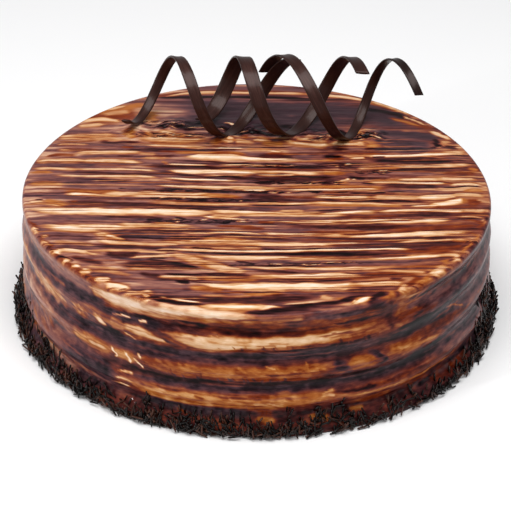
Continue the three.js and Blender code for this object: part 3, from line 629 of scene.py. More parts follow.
    (DARK, 2.2, (-56, -85.6), (-50, -87.6), (-45, -88)),
    (PALE, 1.4, (-47, -88.5), (-36, -88.8), (-25, -90.2)),
    (SAND, 0.9, (-28, -88.2), (-8, -88.6), (12, -88)),
    (AMBER, 1.5, (-28, -89.6), (-12, -90.4), (2, -90.2)),
    (RUST, 1.6, (8, -89.6), (24, -89.4), (44, -87.8), (62, -86.2)),
    (BLACK, 0.9, (-2, -90.6), (14, -89.9), (30, -89.8), (46, -88.6)),
    (DARK, 1.0, (64, -87), (70, -87)),
    (RUST, 1.0, (50, -90), (64, -88.8), (72, -88)),
    (ROSE, 4.0, (-62, -86, 2.0), (-52, -93, 4.2), (-42, -97, 3.6), (-34, -100, 2.4)),
    (BLACK, 2.0, (-38, -92.6, 0.9), (-34, -92.8, 2.1), (-30.5, -93.4, 1.4)),
    (DARK, 0.8, (-31, -92.4), (-22, -93.5), (-9, -93.4)),
    (AMBER, 1.8, (-32, -97), (-22, -98.6), (-14, -99)),
    (CREAM, 3.0, (-27, -94.6, 0.8), (-16, -96, 2.2), (0, -96, 2.9),
     (20, -95.3, 3.0), (40, -94.6, 2.9), (54, -93.2, 1.8)),
    (PALE, 1.6, (46, -92.8), (62, -91.2), (71, -90.8)),
    (PALE, 1.8, (71, -90.8), (71.4, -94), (68, -98.4)),
    (RUST, 2.3, (79, -84), (75.5, -89), (73, -93)),
    (CREAM, 2.4, (92, -73.4, 1.4), (88, -78, 2.4), (84, -83, 2.4)),
    (AMBER, 1.4, (84, -83), (81, -87), (76, -91.6)),
    (CARAMEL, 1.0, (78, -91), (72, -95.8)),
    (AMBER, 0.9, (86.4, -75.4), (84, -79.5)),
    (RUST, 1.0, (-22, -102), (-10, -101.4), (-2, -101.4)),
    (BLACK, 0.6, (-8, -101.5), (4, -100.6), (13, -100.3)),
    (AMBER, 1.2, (-6, -102.6), (4, -102.4), (13, -102.3)),
    (CARAMEL, 1.0, (-27, -103.4), (-12, -104.6), (-2, -104)),
    (BROWN, 1.7, (12, -100.4), (24, -101), (40, -99.6), (54, -97.4)),
    (DARK, 2.8, (42, -98.6), (54, -97.8), (63, -96.4)),
    (DARK, 3.6, (-38, -105, 1.0), (-18, -108, 3.0), (0, -107.6, 3.8), (16, -106, 3.8), (32, -104, 2.6)),
    (BLACK, 0.5, (33, -98.8), (39, -99.2)),
    (CARAMEL, 1.8, (31, -103.4), (36.5, -105.6)),
    (AMBER, 1.2, (38, -105.4), (46, -105.8)),
    (AMBER, 1.3, (65, -96.8), (63, -101), (59, -104)),
    (BLACK, 2.2, (60, -97.6), (57, -102), (50, -107.4)),
    (BLACK, 1.5, (12, -112), (24, -110.8), (36, -108.4), (46, -104.4), (53, -102)),
    (CREAM, 1.9, (46, -108.6, 1.2), (49.5, -105.8, 2.0), (55, -102.9, 0.9)),
    (CREAM, 1.2, (45.6, -105.8), (47, -109.2)),
    # painted highlights: a white glint on the cream tip, and thin pale glints along the black line
    (GLINT_WHITE, 1.1, (46.4, -107.6), (50, -105.6), (54, -103.4)),
    (PALE, 0.3, (12, -110.8), (22, -109.8), (30, -108.2)),
    # rim at the front, with painted highlights along its rounding
    (SAND, 3.0, (-44, -110.6), (-30, -114), (-16, -117.5), (0, -119)),
    (IVORY, 2.4, (-48, -109), (-38, -112.6), (-28, -115.4), (-18, -117.6), (-6, -119)),
    (BLACK, 1.9, (-52, -105.4, 1.0), (-44, -107.8, 2.0), (-35, -110.4, 1.7), (-23, -112.4, 0.6)),
    (DARK, 1.0, (-48, -105), (-36, -106.6), (-24, -109), (-12, -110.2)),
    # painted highlight: a thin cream glint between the dark lines
    (CREAM, 0.45, (-45, -105.6), (-36, -108), (-25, -110.6)),
    (BLACK, 1.2, (-52, -105.2), (-45.5, -107.8), (-40, -109.4), (-33, -110.9), (-24, -111.6)),
    # a white-cream band, partly cream glaze and partly a painted highlight on the rounding
    (CREAM, 2.4, (-26, -113, 1.4), (-14, -113.4, 2.5), (0, -113.4, 2.4), (14, -113.6, 0.9)),
    (GLINT_WHITE, 1.2, (-22, -113.2), (-10, -113.4), (4, -113.2)),
    (BLACK, 1.8, (-7, -118, 1.0), (4, -117, 2.0), (16, -114.6, 1.7), (30, -112.2, 1.7)),
    # flecks along the rim at the front left, parted by dark red gaps
    (RUST, 1.8, (-108, -50), (-101, -62), (-97, -70), (-89, -78.5), (-80, -88), (-74, -94)),
    (BLACK, 0.8, (-103, -61), (-99.6, -65)),
    (BLACK, 1.1, (-97, -70.6), (-92.6, -71.4), (-88.6, -76)),
    (CREAM, 1.1, (-107, -52), (-103.4, -52.2)),
    (SAND, 1.3, (-105.8, -56.6), (-101.4, -59.8)),
    (CREAM, 2.1, (-98, -65.2), (-94.6, -67.6)),
    (PALE, 1.3, (-96, -64.6), (-88, -66), (-81, -67.8)),
    (CREAM, 1.6, (-93.2, -73.4), (-90.2, -75.2)),
    (CREAM, 1.2, (-88.4, -79.2), (-84.4, -79.7)),
    (CREAM, 2.0, (-84, -83), (-78.6, -84.8)),
    (BLACK, 0.8, (-81.4, -87.8), (-78, -89.8)),
    (CREAM, 1.9, (-76.4, -90.4), (-69, -91.8)),
    (CREAM, 2.6, (-71.5, -95), (-66, -97), (-59.5, -99.4)),
    (RUST, 0.7, (-72, -92.9), (-63.5, -94.8)),
    (BLACK, 0.5, (-64.4, -100), (-61.4, -98.9)),
    (PALE, 1.9, (-62, -102.4), (-54.5, -102.7), (-48, -101.8)),
    (BLACK, 0.9, (-54, -106), (-51, -107)),
    (CREAM, 1.0, (-53.2, -104), (-50.2, -105.6)),
    (CREAM, 0.9, (-54.4, -107), (-49.6, -108.4)),
    (RUST, 0.9, (-58.4, -104.8), (-55, -107)),
]


# ---- bands round the side: (colour, half height, (degrees, height) points) ----
SIDE_STREAKS = [
    # first ridge under the rim
    (ROSE, 4.6, (-88, 60), (-60, 60), (-41, 60)),
    (MAUVE, 2.2, (-88, 54), (-76, 56), (-60, 61)),
    (ROSE, 2.2, (-50, 63), (-41, 62)),
    (ROSE, 4.0, (-47, 60.6), (-41, 60.4)),
    (BEIGE, 3.2, (-41.6, 61), (-36, 60.6), (-30, 61)),
    (SAND, 3.4, (-31, 61, 2.8), (-24, 62.4, 3.6), (-14, 64.4, 3.4),
     (-4, 65.4, 2.6), (4, 66.2, 1.8), (11.5, 67, 1.0)),
    (IVORY, 3.4, (-42, 61, 2.2), (-31, 61.4, 4.0), (-24, 62.6, 4.0), (-14, 64.2, 3.4), (-5, 65.4, 2.0)),
    (IVORY, 1.8, (-26, 63), (-16, 64), (-8, 65.2), (2, 66)),
    (SAND, 1.6, (-2, 65.4), (7, 65.4), (11, 65)),
    (AMBER, 1.0, (-20, 60), (-12, 61), (-2, 62), (8, 63.4)),
    (BROWN, 4.0, (11.5, 63), (22, 62.6)),
    (PLUM, 4.2, (20, 63), (31.4, 62.5)),
    (PLUM, 2.6, (13, 65.6), (22, 65.4), (31, 65)),
    (MAROON, 2.6, (24, 61), (31.6, 60.6)),
    (RUST, 2.2, (10, 61), (20, 60), (31, 60)),
    (AMBER, 4.2, (33.2, 62), (38, 61.6), (43, 60)),
    (CARAMEL, 1.0, (35, 64.4), (42, 62)),
    (MAROON, 2.6, (36, 60.6), (48, 60), (60, 59.6)),
    (BROWN, 3.4, (56, 61), (64, 60), (84, 59)),
    (RUST, 2.6, (33, 57), (50, 56.6), (70, 56)),
    (RUST, 2.4, (-10, 59.6), (0, 59.8), (9, 58.6)),
    (MAROON, 2.2, (-10, 56.6), (6, 56.4), (24, 56.8)),
    (BLACK, 1.6, (-12, 57), (-4, 56.8), (7, 56.8)),
    (MAROON, 1.3, (-16, 57.4), (-4, 57.4), (6, 57.2)),
    (RUST, 1.3, (8, 57.8), (20, 57.8), (31, 57.4)),
    (BLACK, 0.7, (18, 58.2), (31, 57.6)),
    (PLUM, 3.0, (-76, 53.6), (-50, 54), (-36, 54.4)),
    (RUST, 1.0, (-37, 54.8), (-31, 55)),
    (BLACK, 1.3, (-31, 54.6), (-24, 56), (-17, 57), (-10, 57.6)),
    (PLUM, 2.0, (-40, 52.6), (-28, 53.4), (-21, 54)),
    # painted highlights: white glints on the glaze at the front left
    (GLINT_WHITE, 0.45, (-34.5, 52.7), (-31.5, 53.7), (-29.4, 54.1)),
    (GLINT_WHITE, 0.45, (-27.4, 53.4), (-25, 54.2)),
    # second ridge
    (CARAMEL, 3.6, (-78, 46), (-66, 46), (-51, 45.6)),
    (BROWN, 4.4, (-50.4, 46), (-47.6, 45)),
    (RUST, 3.6, (-46.6, 45), (-42.4, 45)),
    (BROWN, 4.0, (-42, 46), (-39.6, 45.6)),
    (CARAMEL, 3.0, (-35, 48), (-31, 48)),
    (BEIGE, 2.4, (-32, 49.4, 1.8), (-27.4, 48.7, 2.6), (-23, 47, 1.8), (-19.6, 45.6, 0.7)),
    (RUST, 1.6, (-35, 44), (-30, 43.6), (-22, 44), (-14, 43.8)),
    (BLACK, 0.9, (-38, 43.4), (-32, 43)),
    (SAND, 0.5, (-31.6, 44.6), (-29.6, 43.2), (-28, 42)),
    # painted highlight: a white glint
    (GLINT_WHITE, 0.5, (-33, 41.6), (-31, 41), (-28.8, 40.8)),
    (BEIGE, 4.4, (-20.8, 51.4, 1.0), (-16, 50.6, 3.0),
     (-11, 49.6, 5.0), (-7, 50.2, 4.4), (-2.6, 51.2, 2.7), (5, 51.4, 2.9),
     (12, 52.2, 2.9), (20, 53, 2.2), (30.6, 53.8, 1.5)),
    (RUST, 0.9, (-20.6, 49.4), (-17, 46.6), (-12.4, 44.4), (-8.6, 43.6)),
    (RUST, 1.1, (-9, 44.6), (-4.6, 46.6), (4, 47.4), (12, 48.2), (22, 49.2), (31, 50)),
    (BLACK, 0.9, (1, 46.2), (8, 46.6), (12, 47.2), (20, 47.4), (28, 48.4)),
    (AMBER, 1.6, (33.4, 55), (38, 54.4), (41, 53)),
    (RUST, 2.6, (33.4, 52.6), (40, 51.6), (47, 50.4)),
    (BROWN, 3.2, (42, 54.4), (56, 53), (70, 52)),
    (BLACK, 1.5, (33.6, 46.8), (42, 46.6), (50, 46.8)),
    (PLUM, 1.6, (49, 47.6), (62, 47.8)),
    (PLUM, 3.2, (-74, 38.6), (-50, 38.8), (-30, 39.6),
     (-10, 41), (0, 42.4), (10, 43.8), (22, 44), (31.4, 43)),
    (PLUM, 2.6, (33, 42.6), (44, 42.6), (54, 42)),
    (BROWN, 2.6, (54, 42), (74, 41)),
    # third ridge
    (MAUVE, 4.4, (-80, 33), (-66, 33), (-54, 32)),
    (ROSE, 3.6, (-56, 31), (-47, 30.6)),
    (GOLD, 3.0, (-47.4, 31.4, 1.6), (-41, 31.4, 3.4), (-34.4, 32, 3.0)),
    (PALE, 1.2, (-42, 31), (-36, 31.6)),
    (AMBER, 0.7, (-42.6, 36), (-41.6, 32)),
    (GOLD, 2.6, (-34, 32), (-28, 32)),
    # painted highlights: upright white glints at the front left
    (GLINT_WHITE, 0.7, (-34.4, 35), (-33.4, 32), (-33.2, 28.6)),
    (GLINT_WHITE, 0.8, (-30.4, 34.6), (-29.8, 31), (-29.6, 28)),
    (GLINT_WHITE, 0.6, (-28.6, 32.6), (-27.4, 30), (-26.4, 27.6)),
    (GLINT_WHITE, 0.5, (-27.6, 36), (-26.6, 33)),
    (RUST, 3.4, (-26.6, 33), (-22, 33)),
    (HONEY, 4.0, (-25, 33.4), (-12, 33.6), (0, 34.4), (10, 35), (17.4, 34.6)),
    (AMBER, 1.9, (-20, 33), (-11, 33.2), (-3, 33.2)),
    (AMBER, 1.6, (0, 36.2), (5, 35.2), (9, 33.6)),
    (AMBER, 1.2, (10, 36), (16.5, 34.6)),
    (GOLD, 0.4, (12, 39.6), (12.4, 35.4)),
    (GOLD, 0.4, (2.4, 39), (4.6, 36.6)),
    (RUST, 1.1, (-24, 30), (-8, 30), (6, 30.4), (17, 31)),
    (PLUM, 2.0, (18.4, 38), (20.6, 33.6), (22, 30)),
    (HONEY, 2.4, (21.6, 38), (25, 35.4), (29, 33.2)),
    (PLUM, 1.4, (27, 38.6), (30.4, 34.4), (32, 31)),
    (HONEY, 3.0, (31.6, 38, 2.0), (37, 35, 3.0), (44, 33, 2.6), (51, 31.6, 1.4)),
    (GOLD, 0.9, (33, 36.6), (38, 34.2), (43, 33), (48.6, 31.6)),
    (RUST, 2.2, (36, 38.6), (50, 37), (62, 34)),
    (GOLD, 0.6, (51, 44), (55, 40.4), (58.6, 37)),
    (BROWN, 3.0, (50, 33), (64, 32), (74, 32)),
    (BROWN, 6.0, (-76, 21), (-56, 20), (-34, 20)),
    (PLUM, 6.0, (-50, 18, 4.0), (-42, 18, 6.4), (-33, 19, 5.0)),
    (PLUM, 2.4, (-32, 23.4), (-18, 24.4), (0, 25), (20, 25.4), (40, 26), (62, 25)),
    (BLACK, 1.1, (-32, 25.4), (-24, 26.4), (-16, 27), (-8, 27.8), (6, 28), (14, 27.6), (18.4, 26.8)),
    (BLACK, 1.2, (19.6, 28.8), (28, 28.6)),
    # painted highlights: white glints lower down at the front left
    (GLINT_WHITE, 0.6, (-32.4, 22.2), (-30.4, 23.4), (-28.4, 23.2)),
    (GLINT_WHITE, 0.6, (-33.4, 18.5), (-31, 19), (-28.6, 18.7)),
    (GLINT_WHITE, 0.6, (-35.4, 13.6), (-32, 15.2), (-29, 15.4)),
    (BLACK, 0.5, (-42, 20.5), (-41.4, 18), (-40.6, 16)),
    (SLATE, 4.6, (-76, 12), (-54, 12), (-30, 12.5)),
    (MAUVE, 1.6, (-70, 10), (-58, 11), (-46, 10)),
    (ROSE, 1.4, (-50, 14), (-42, 12.4), (-34, 11)),
    (ROSE, 3.0, (-61, 19), (-66, 14), (-71, 6)),
    (RUST, 1.1, (-62, 19), (-65, 15), (-69, 9)),
    # lowest ridge
    (AMBER, 3.7, (-28.6, 17.4, 2.4), (-20, 18, 4.0),
     (-8, 18.2, 4.2), (6, 18.4, 4.2), (18.6, 18.6, 3.6)),
    (GOLD, 1.2, (-22, 18.6), (-11, 19.6), (0, 19.6), (9, 19.2)),
    (GOLD, 0.8, (-25.4, 14.3), (-15, 14.5), (-4, 14.5), (6, 15.2)),
    (GOLD, 0.7, (14.6, 19.4), (18.2, 21.6)),
    (RUST, 0.8, (-2, 22), (4, 21.6)),
    (RUST, 1.7, (19.6, 19.4), (34, 19), (50, 18.4), (65, 17.4)),
    (BLACK, 0.8, (19.8, 19.8), (29, 19.4)),
    (GOLD, 0.9, (21.6, 17), (28, 17), (36, 15.8), (46, 15.2), (60, 14.6)),
    (ROSE, 0.9, (50, 19.9), (62, 19.5)),
    (PLUM, 2.2, (-27, 11), (-12, 11.2), (0, 11.2)),
    (RUST, 0.9, (-18, 9.6), (-13.6, 7.8)),
    (RUST, 1.5, (0.4, 12), (4.4, 10.6)),
    (AMBER, 1.5, (0.6, 8), (4.6, 7.4)),
    (AMBER, 1.1, (12.6, 9), (17.8, 7.4)),
    (AMBER, 1.0, (22, 8.6), (26.4, 8)),
    (RUST, 2.0, (22, 12.2), (36, 12), (50, 11)),
    (RUST, 3.0, (44, 8), (62, 7)),
    # red line under the first ridge
    (RUST, 1.3, (11, 55.4), (20, 55.2), (31, 55)),
]

# ---- short slanted flecks on the side: (colours, half width, half length, first and last
# angle, how many, lowest and highest, lean in mm) ----
SIDE_FLECKS = [
    ((AMBER, CARAMEL, HONEY), 1.0, 2.0, -76, -51, 30, 42, 49, 6.0),
    ((SAND, CARAMEL), 0.8, 1.6, -66, -51, 12, 44, 47, 5.0),
    ((AMBER, CARAMEL, SAND), 1.0, 2.6, -46.6, -42.6, 6, 43, 47, 3.0),
    ((SAND, CREAM), 0.9, 2.2, -39, -35.5, 5, 45.4, 47.4, 3.4),
    ((BLACK, RUST), 0.5, 1.8, -8, 30, 26, 47.2, 49.4, 0.3),
    ((MAROON, PLUM), 0.5, 2.0, -26, 18, 26, 28.6, 31.0, 0.6),
    ((RUST, GOLD), 0.6, 1.2, -26, 18, 26, 33, 37.4, 2.4),
    ((RUST, GOLD, SAND), 0.6, 0.8, -27, 18, 30, 16, 21, 4.0),
    ((AMBER, ROSE, RUST), 0.9, 1.4, 33, 46, 20, 56, 65, -4.0),
    ((ROSE, BROWN, PLUM), 1.0, 0.6, 40, 72, 34, 48, 62, -7.0),
    ((BROWN, RUST, PLUM), 0.8, 0.8, 30, 66, 30, 8, 15, -5.0),
    ((MAUVE, ROSE, PLUM, RUST), 0.8, 2.0, -76, -50, 34, 14, 36, 6.0),
]

# ---- patches of fine wrinkles in the dark glaze on top: (x, y, half length, half height) ----
WRINKLES = [
    (-34, -5, 20, 1.6),
    (-28, -14.6, 24, 1.6),
    (-28, -35.6, 26, 1.8),
    (6, -5.6, 30, 1.2),
    (20, 5, 24, 1.6),
    (20, 22, 30, 1.4),
    (-46, 67, 20, 5.0),
    (-4, 60, 20, 4.5),
    (48, 56, 18, 4.5),
    (-46, 55, 20, 2.5),
    (20, -75.6, 30, 1.2),
    (60, 17, 10, 1.6),
]

# ---- lumps of glaze pushed up round the curls' feet: (x, y, height, spread) ----
LUMPS = [
    (-67, 62, 2.2, 9), (-48, 66, 1.6, 8), (-17, 56, 1.8, 8), (-2, 60, 1.6, 7),
    (24, 58, 1.4, 8), (38, 54, 1.5, 7), (60, 57, 2.2, 8),
]

# ---- colours of the thin random streaks, and the share of wrinkles that are painted cream glints ----
THREAD_COLOURS = (BLACK, MAROON, MAROON, MAROON, PLUM, RUST, AMBER, CARAMEL, PALE)
SIDE_THREAD_COLOURS = (BLACK, DARK, BROWN, RUST, AMBER)
GLINT_WRINKLE_SHARE = 0.16


# ---------------------------------------------------------------- small maths
def smooth(low, high, value):
    """0 below low, 1 above high, and a soft step between."""
    t = np.clip((value - low) / (high - low), 0.0, 1.0)
    return t * t * (3.0 - 2.0 * t)


def mix(a, b, share):
    return a + (b - a) * share


def from_front(degrees):
    """Degrees from the front, between -180 and 180."""
    return (degrees + 180.0) % 360.0 - 180.0


class Noise:
    """Seeded smooth noise between -1 and 1. wrap is the number of cells after which u repeats."""

    CELLS = 512

    def __init__(self, seed):
        self.grid = np.random.default_rng(seed).uniform(-1.0, 1.0, (self.CELLS, self.CELLS))

    def once(self, u, v, wrap):
        iu, iv = np.floor(u).astype(int), np.floor(v).astype(int)
        fu, fv = u - iu, v - iv
        su, sv = fu * fu * (3.0 - 2.0 * fu), fv * fv * (3.0 - 2.0 * fv)
        left, right = iu % wrap, (iu + 1) % wrap
        low, high = iv % self.CELLS, (iv + 1) % self.CELLS
        bottom = mix(self.grid[left, low], self.grid[right, low], su)
        top = mix(self.grid[left, high], self.grid[right, high], su)
        return mix(bottom, top, sv)

    def __call__(self, u, v, octaves=1, wrap=CELLS):
        total, size, share = 0.0, 1.0, 1.0
        for _ in range(octaves):
            cells = int(min(wrap * size, self.CELLS))
            total = total + share * self.once(u * size, v * size, cells)
            size *= 2.0
            share *= 0.5
        return total


SWAY = Noise(3)
GRAIN = Noise(5)
CLOUD = Noise(8)
EDGE = Noise(13)


# ---------------------------------------------------------------- the cake's form
def wall_radius(z, angle):
    """Radius of the side at a height and an angle from +X in radians, as in the solids."""
    flare = mix(WALL_FOOT_RADIUS, WALL_TOP_RADIUS, z / CAKE_HEIGHT)
    wander = GROOVE_WANDER * (np.sin(3 * angle + 1) + 0.5 * np.sin(7 * angle))
    ridge = -np.cos(2 * np.pi * (z - LOWEST_GROOVE - wander) / RIDGE_PITCH)
    strength = 1 + 0.25 * np.sin(5 * angle + z / RIDGE_PITCH)
    bed = STRAND_BED * (1 - smooth(0.4 * STRAND_BED_HEIGHT, STRAND_BED_HEIGHT, z))
    return flare + 0.5 * RIDGE_DEPTH * strength * ridge + bed


def rim_edge(angle):
    """Radius at which the flat top ends and the rim's rounding starts."""
    return wall_radius(BED_HEIGHT - RIM_ROUNDING, angle) - RIM_ROUNDING


def curl_course(curl, angle):
    """Width, radius and travel along the axis of a curl at some angles, in degrees."""
    turns = (angle - REFERENCE_ANGLE) / 360.0
    width = curl["width"] + curl["width_gain"] * turns
    radius = curl["radius"] + curl["radius_gain"] * turns
    return width, radius, curl["pitch"] * turns + curl["pitch_gain"] * turns**2


def curl_place(curl, local):
    """Points of a helix along +X, moved to where the curl lies."""
    turn = Matrix.Rotation(math.radians(curl["heading"]), 3, "Z")
    turn = turn @ Matrix.Rotation(-math.radians(curl["tilt"]), 3, "Y")
    return local @ np.array(turn).T + np.array(curl["axis_point"])


# ---------------------------------------------------------------- painting the glaze
def curve_through(nodes, pieces=6):
    """Points along a smooth curve through the given nodes."""
    nodes = np.asarray(nodes, float)
    if len(nodes) == 2:
        return np.linspace(nodes[0], nodes[1], pieces + 1)
    ends = [2 * nodes[0] - nodes[1], *nodes, 2 * nodes[-1] - nodes[-2]]
    points = []
    for before, start, end, after in zip(ends, ends[1:], ends[2:], ends[3:]):
        for t in np.linspace(0, 1, pieces, endpoint=False):
            swing = (end - before) * t + (2 * before - 5 * start + 4 * end - after) * t**2
            swing = swing + (3 * start - before - 3 * end + after) * t**3
            points.append(start + 0.5 * swing)
    return np.array(points + [nodes[-1]])


def paint(glaze, x, y, colour, half, nodes, strength=1.0, edged=True, tear=TEAR):
    """Lays one streak over the glaze, crisper on its far edge and torn along its length. An
    edged streak that is light has a clear orange fringe and a dark red line round it."""
    path = curve_through([node if len(node) == 3 else (*node, half) for node in nodes])
    reach = 3.0 * path[:, 2].max()
    near = (x > path[:, 0].min() - 2 * reach) & (x < path[:, 0].max() + 2 * reach)
    near &= (y > path[:, 1].min() - reach) & (y < path[:, 1].max() + reach)

    # the nearest place on the path: how far away, and how far along from its start (0) to its end
    px, py = x[near][:, None], y[near][:, None]
    start, step = path[:-1], np.diff(path, axis=0)
    size = (step[:, :2] ** 2).sum(1)
    along = ((px - start[:, 0]) * step[:, 0] + (py - start[:, 1]) * step[:, 1]) / size
    along = np.clip(along, 0, 1)
    dx = px - start[:, 0] - along * step[:, 0]
    dy = py - start[:, 1] - along * step[:, 1]
    best = np.argmin(dx**2 + dy**2, axis=1)
    row = np.arange(len(best))
    distance = np.hypot(dx[row, best], dy[row, best])
    share = (best + along[row, best]) / len(step)

    taper = 1 - np.abs(2 * share - 1) ** 6
    ragged = 1 + 0.25 * EDGE(px[:, 0] / 9, py[:, 0] / 3, 2)
    width = (start[best, 2] + along[row, best] * step[best, 2]) * (0.3 + 0.7 * taper) * ragged
    far_side = dy[row, best] > 0
    edge = distance / (width * np.where(far_side, 0.95, 1.1))
    feathered = smooth(0.0, FEATHER, share) * smooth(0.0, FEATHER, 1 - share)
    strength = strength * (0.3 + 0.7 * feathered)
    tear = 0.4 * tear if half > WIDE_HALF or colour[0] <= RUST[0] else tear
    torn = 1 - tear * smooth(0.2, 0.9, GRAIN(px[:, 0] / 13 + 90, py[:, 0] / 0.8, 2))

    def lay(laid, mask):
        glaze[:, near] = mix(glaze[:, near], np.array(laid)[:, None], mask)

    if edged and half > OUTLINED_HALF and colour[0] > CARAMEL[0]:
        lay(MAROON, 0.35 * strength * np.exp(-((distance / (1.2 * width + 1.1)) ** 6)))
    if edged and colour[0] > FRINGE[0]:
        fringe_width = 1.15 * width + min(0.4, 0.4 * half)
        lay(FRINGE, 0.6 * strength * np.exp(-((distance / fringe_width) ** 4)))
    lay(colour, strength * torn * np.exp(-(edge ** np.where(far_side, 6.0, 3.0))))


def drift(x):
    """How far the streaks on top climb towards the back on their way right."""
    return STREAK_CLIMB * np.maximum(x - CLIMB_FROM, 0)


def wrinkle_share(x, y):
    """How wrinkled the glaze on top is, 0 to 1."""
    share = 0.0 * x
    for cx, cy, reach, half in WRINKLES:
        across = y - cy - (drift(x) - drift(cx))
        share = np.maximum(share, np.exp(-(((x - cx) / reach) ** 4) - (across / half) ** 4))
    return share


def foot_share(x, y):
    """How close a place on top is to the curls' feet, 0 to 1."""
    share = 0.0 * x
    for cx, cy, _, spread in LUMPS:
        share = np.maximum(share, np.exp(-((x - cx) ** 2 + (y - cy) ** 2) / (1.3 * spread) ** 2))
    return share


def top_calm(x, y):
    """How free of fine streaks the glaze is, 0 to 1: smooth in the dark pool at the back."""
    edge = POOL_EDGE + 5 * SWAY(x / 14, y / 9) - POOL_SLOPE * x
    return smooth(0, POOL_SOFTNESS, y - edge)


def top_glaze(x, y):
    """Tone and veil of the glaze on the flat top."""
    flow = y - drift(x)
    y = y + 0.22 * SWAY(x / 30, flow / 9, 2) + 0.2 * SWAY(x / 8 + 40, flow / 3, 2)
    x = x + 1.2 * SWAY(x / 20 + 9, flow / 1.5) + 0.5 * SWAY(x / 7, flow / 0.9)
    band = GRAIN(x / 60, flow / 3.0, 2)
    tone = TOP_TONE + 0.13 * GRAIN(x / 26 + 7, flow / 1.1) + 0.26 * smooth(0.15, 0.6, band)
    tone = tone - 0.12 * smooth(0.1, 0.7, -band) + 0.09 * smooth(20, 80, -x)
    veil = mix(VEIL_LEFT, VEIL_RIGHT, smooth(-30, 70, x))
    glaze = np.stack([tone, veil * (0.4 + 0.6 * smooth(0.16, 0.34, tone))])
    for colour, half, *nodes in TOP_STREAKS:
        paint(glaze, x, y, colour, half, nodes)
    random = np.random.default_rng(THREAD_SEED)
    for _ in range(THREAD_COUNT):
        cx, cy = random.uniform(-112, 112), random.uniform(-108, 56)
        reach, half = random.uniform(*THREAD_REACH), random.uniform(*THREAD_HALF)
        colour = THREAD_COLOURS[random.integers(len(THREAD_COLOURS))]
        rise = STREAK_CLIMB * reach if cx > CLIMB_FROM else random.uniform(-0.5, 0.5)
        middle = (cx, cy + random.uniform(-0.3, 0.3))
        nodes = [(cx - reach, cy - rise), middle, (cx + reach, cy + rise)]
        paint(glaze, x, y, colour, half, nodes, strength=THREAD_STRENGTH)
    for cx, cy, reach, half in WRINKLES:
        for _ in range(int(0.7 * reach * half)):
            px = cx + reach * random.uniform(-1, 1)
            py = cy + half * random.uniform(-1, 1) + drift(px) - drift(cx)
            size, slant = random.uniform(*WRINKLE_LENGTH), random.uniform(-0.5, 0.5)
            # painted highlights: some of the wrinkles are cream glints
            colour = CREAM if random.random() < GLINT_WRINKLE_SHARE else BLACK
            nodes = [(px - size, py - slant), (px, py), (px + size, py + slant)]
            paint(glaze, x, y, colour, random.uniform(*THREAD_HALF), nodes)
    rough = 1 - 0.7 * top_calm(x, y)
    glaze[0] += rough * (0.06 * GRAIN(x / 3.6, y / 1.1) + 0.03 * CLOUD(x / 2.2, y / 2.0))
    glaze[0] += 0.20 * foot_share(x, y) * CLOUD(x / 3.0 + 5, y / 2.4, 2)
    return glaze


def folded(degrees):
    """Angles behind the cake mirrored to the front, so that the bands go on round the back."""
    beyond = np.where(degrees < -BACK_STARTS, -180 - degrees, degrees)
    return np.where(degrees > BACK_STARTS, 180 - degrees, beyond)


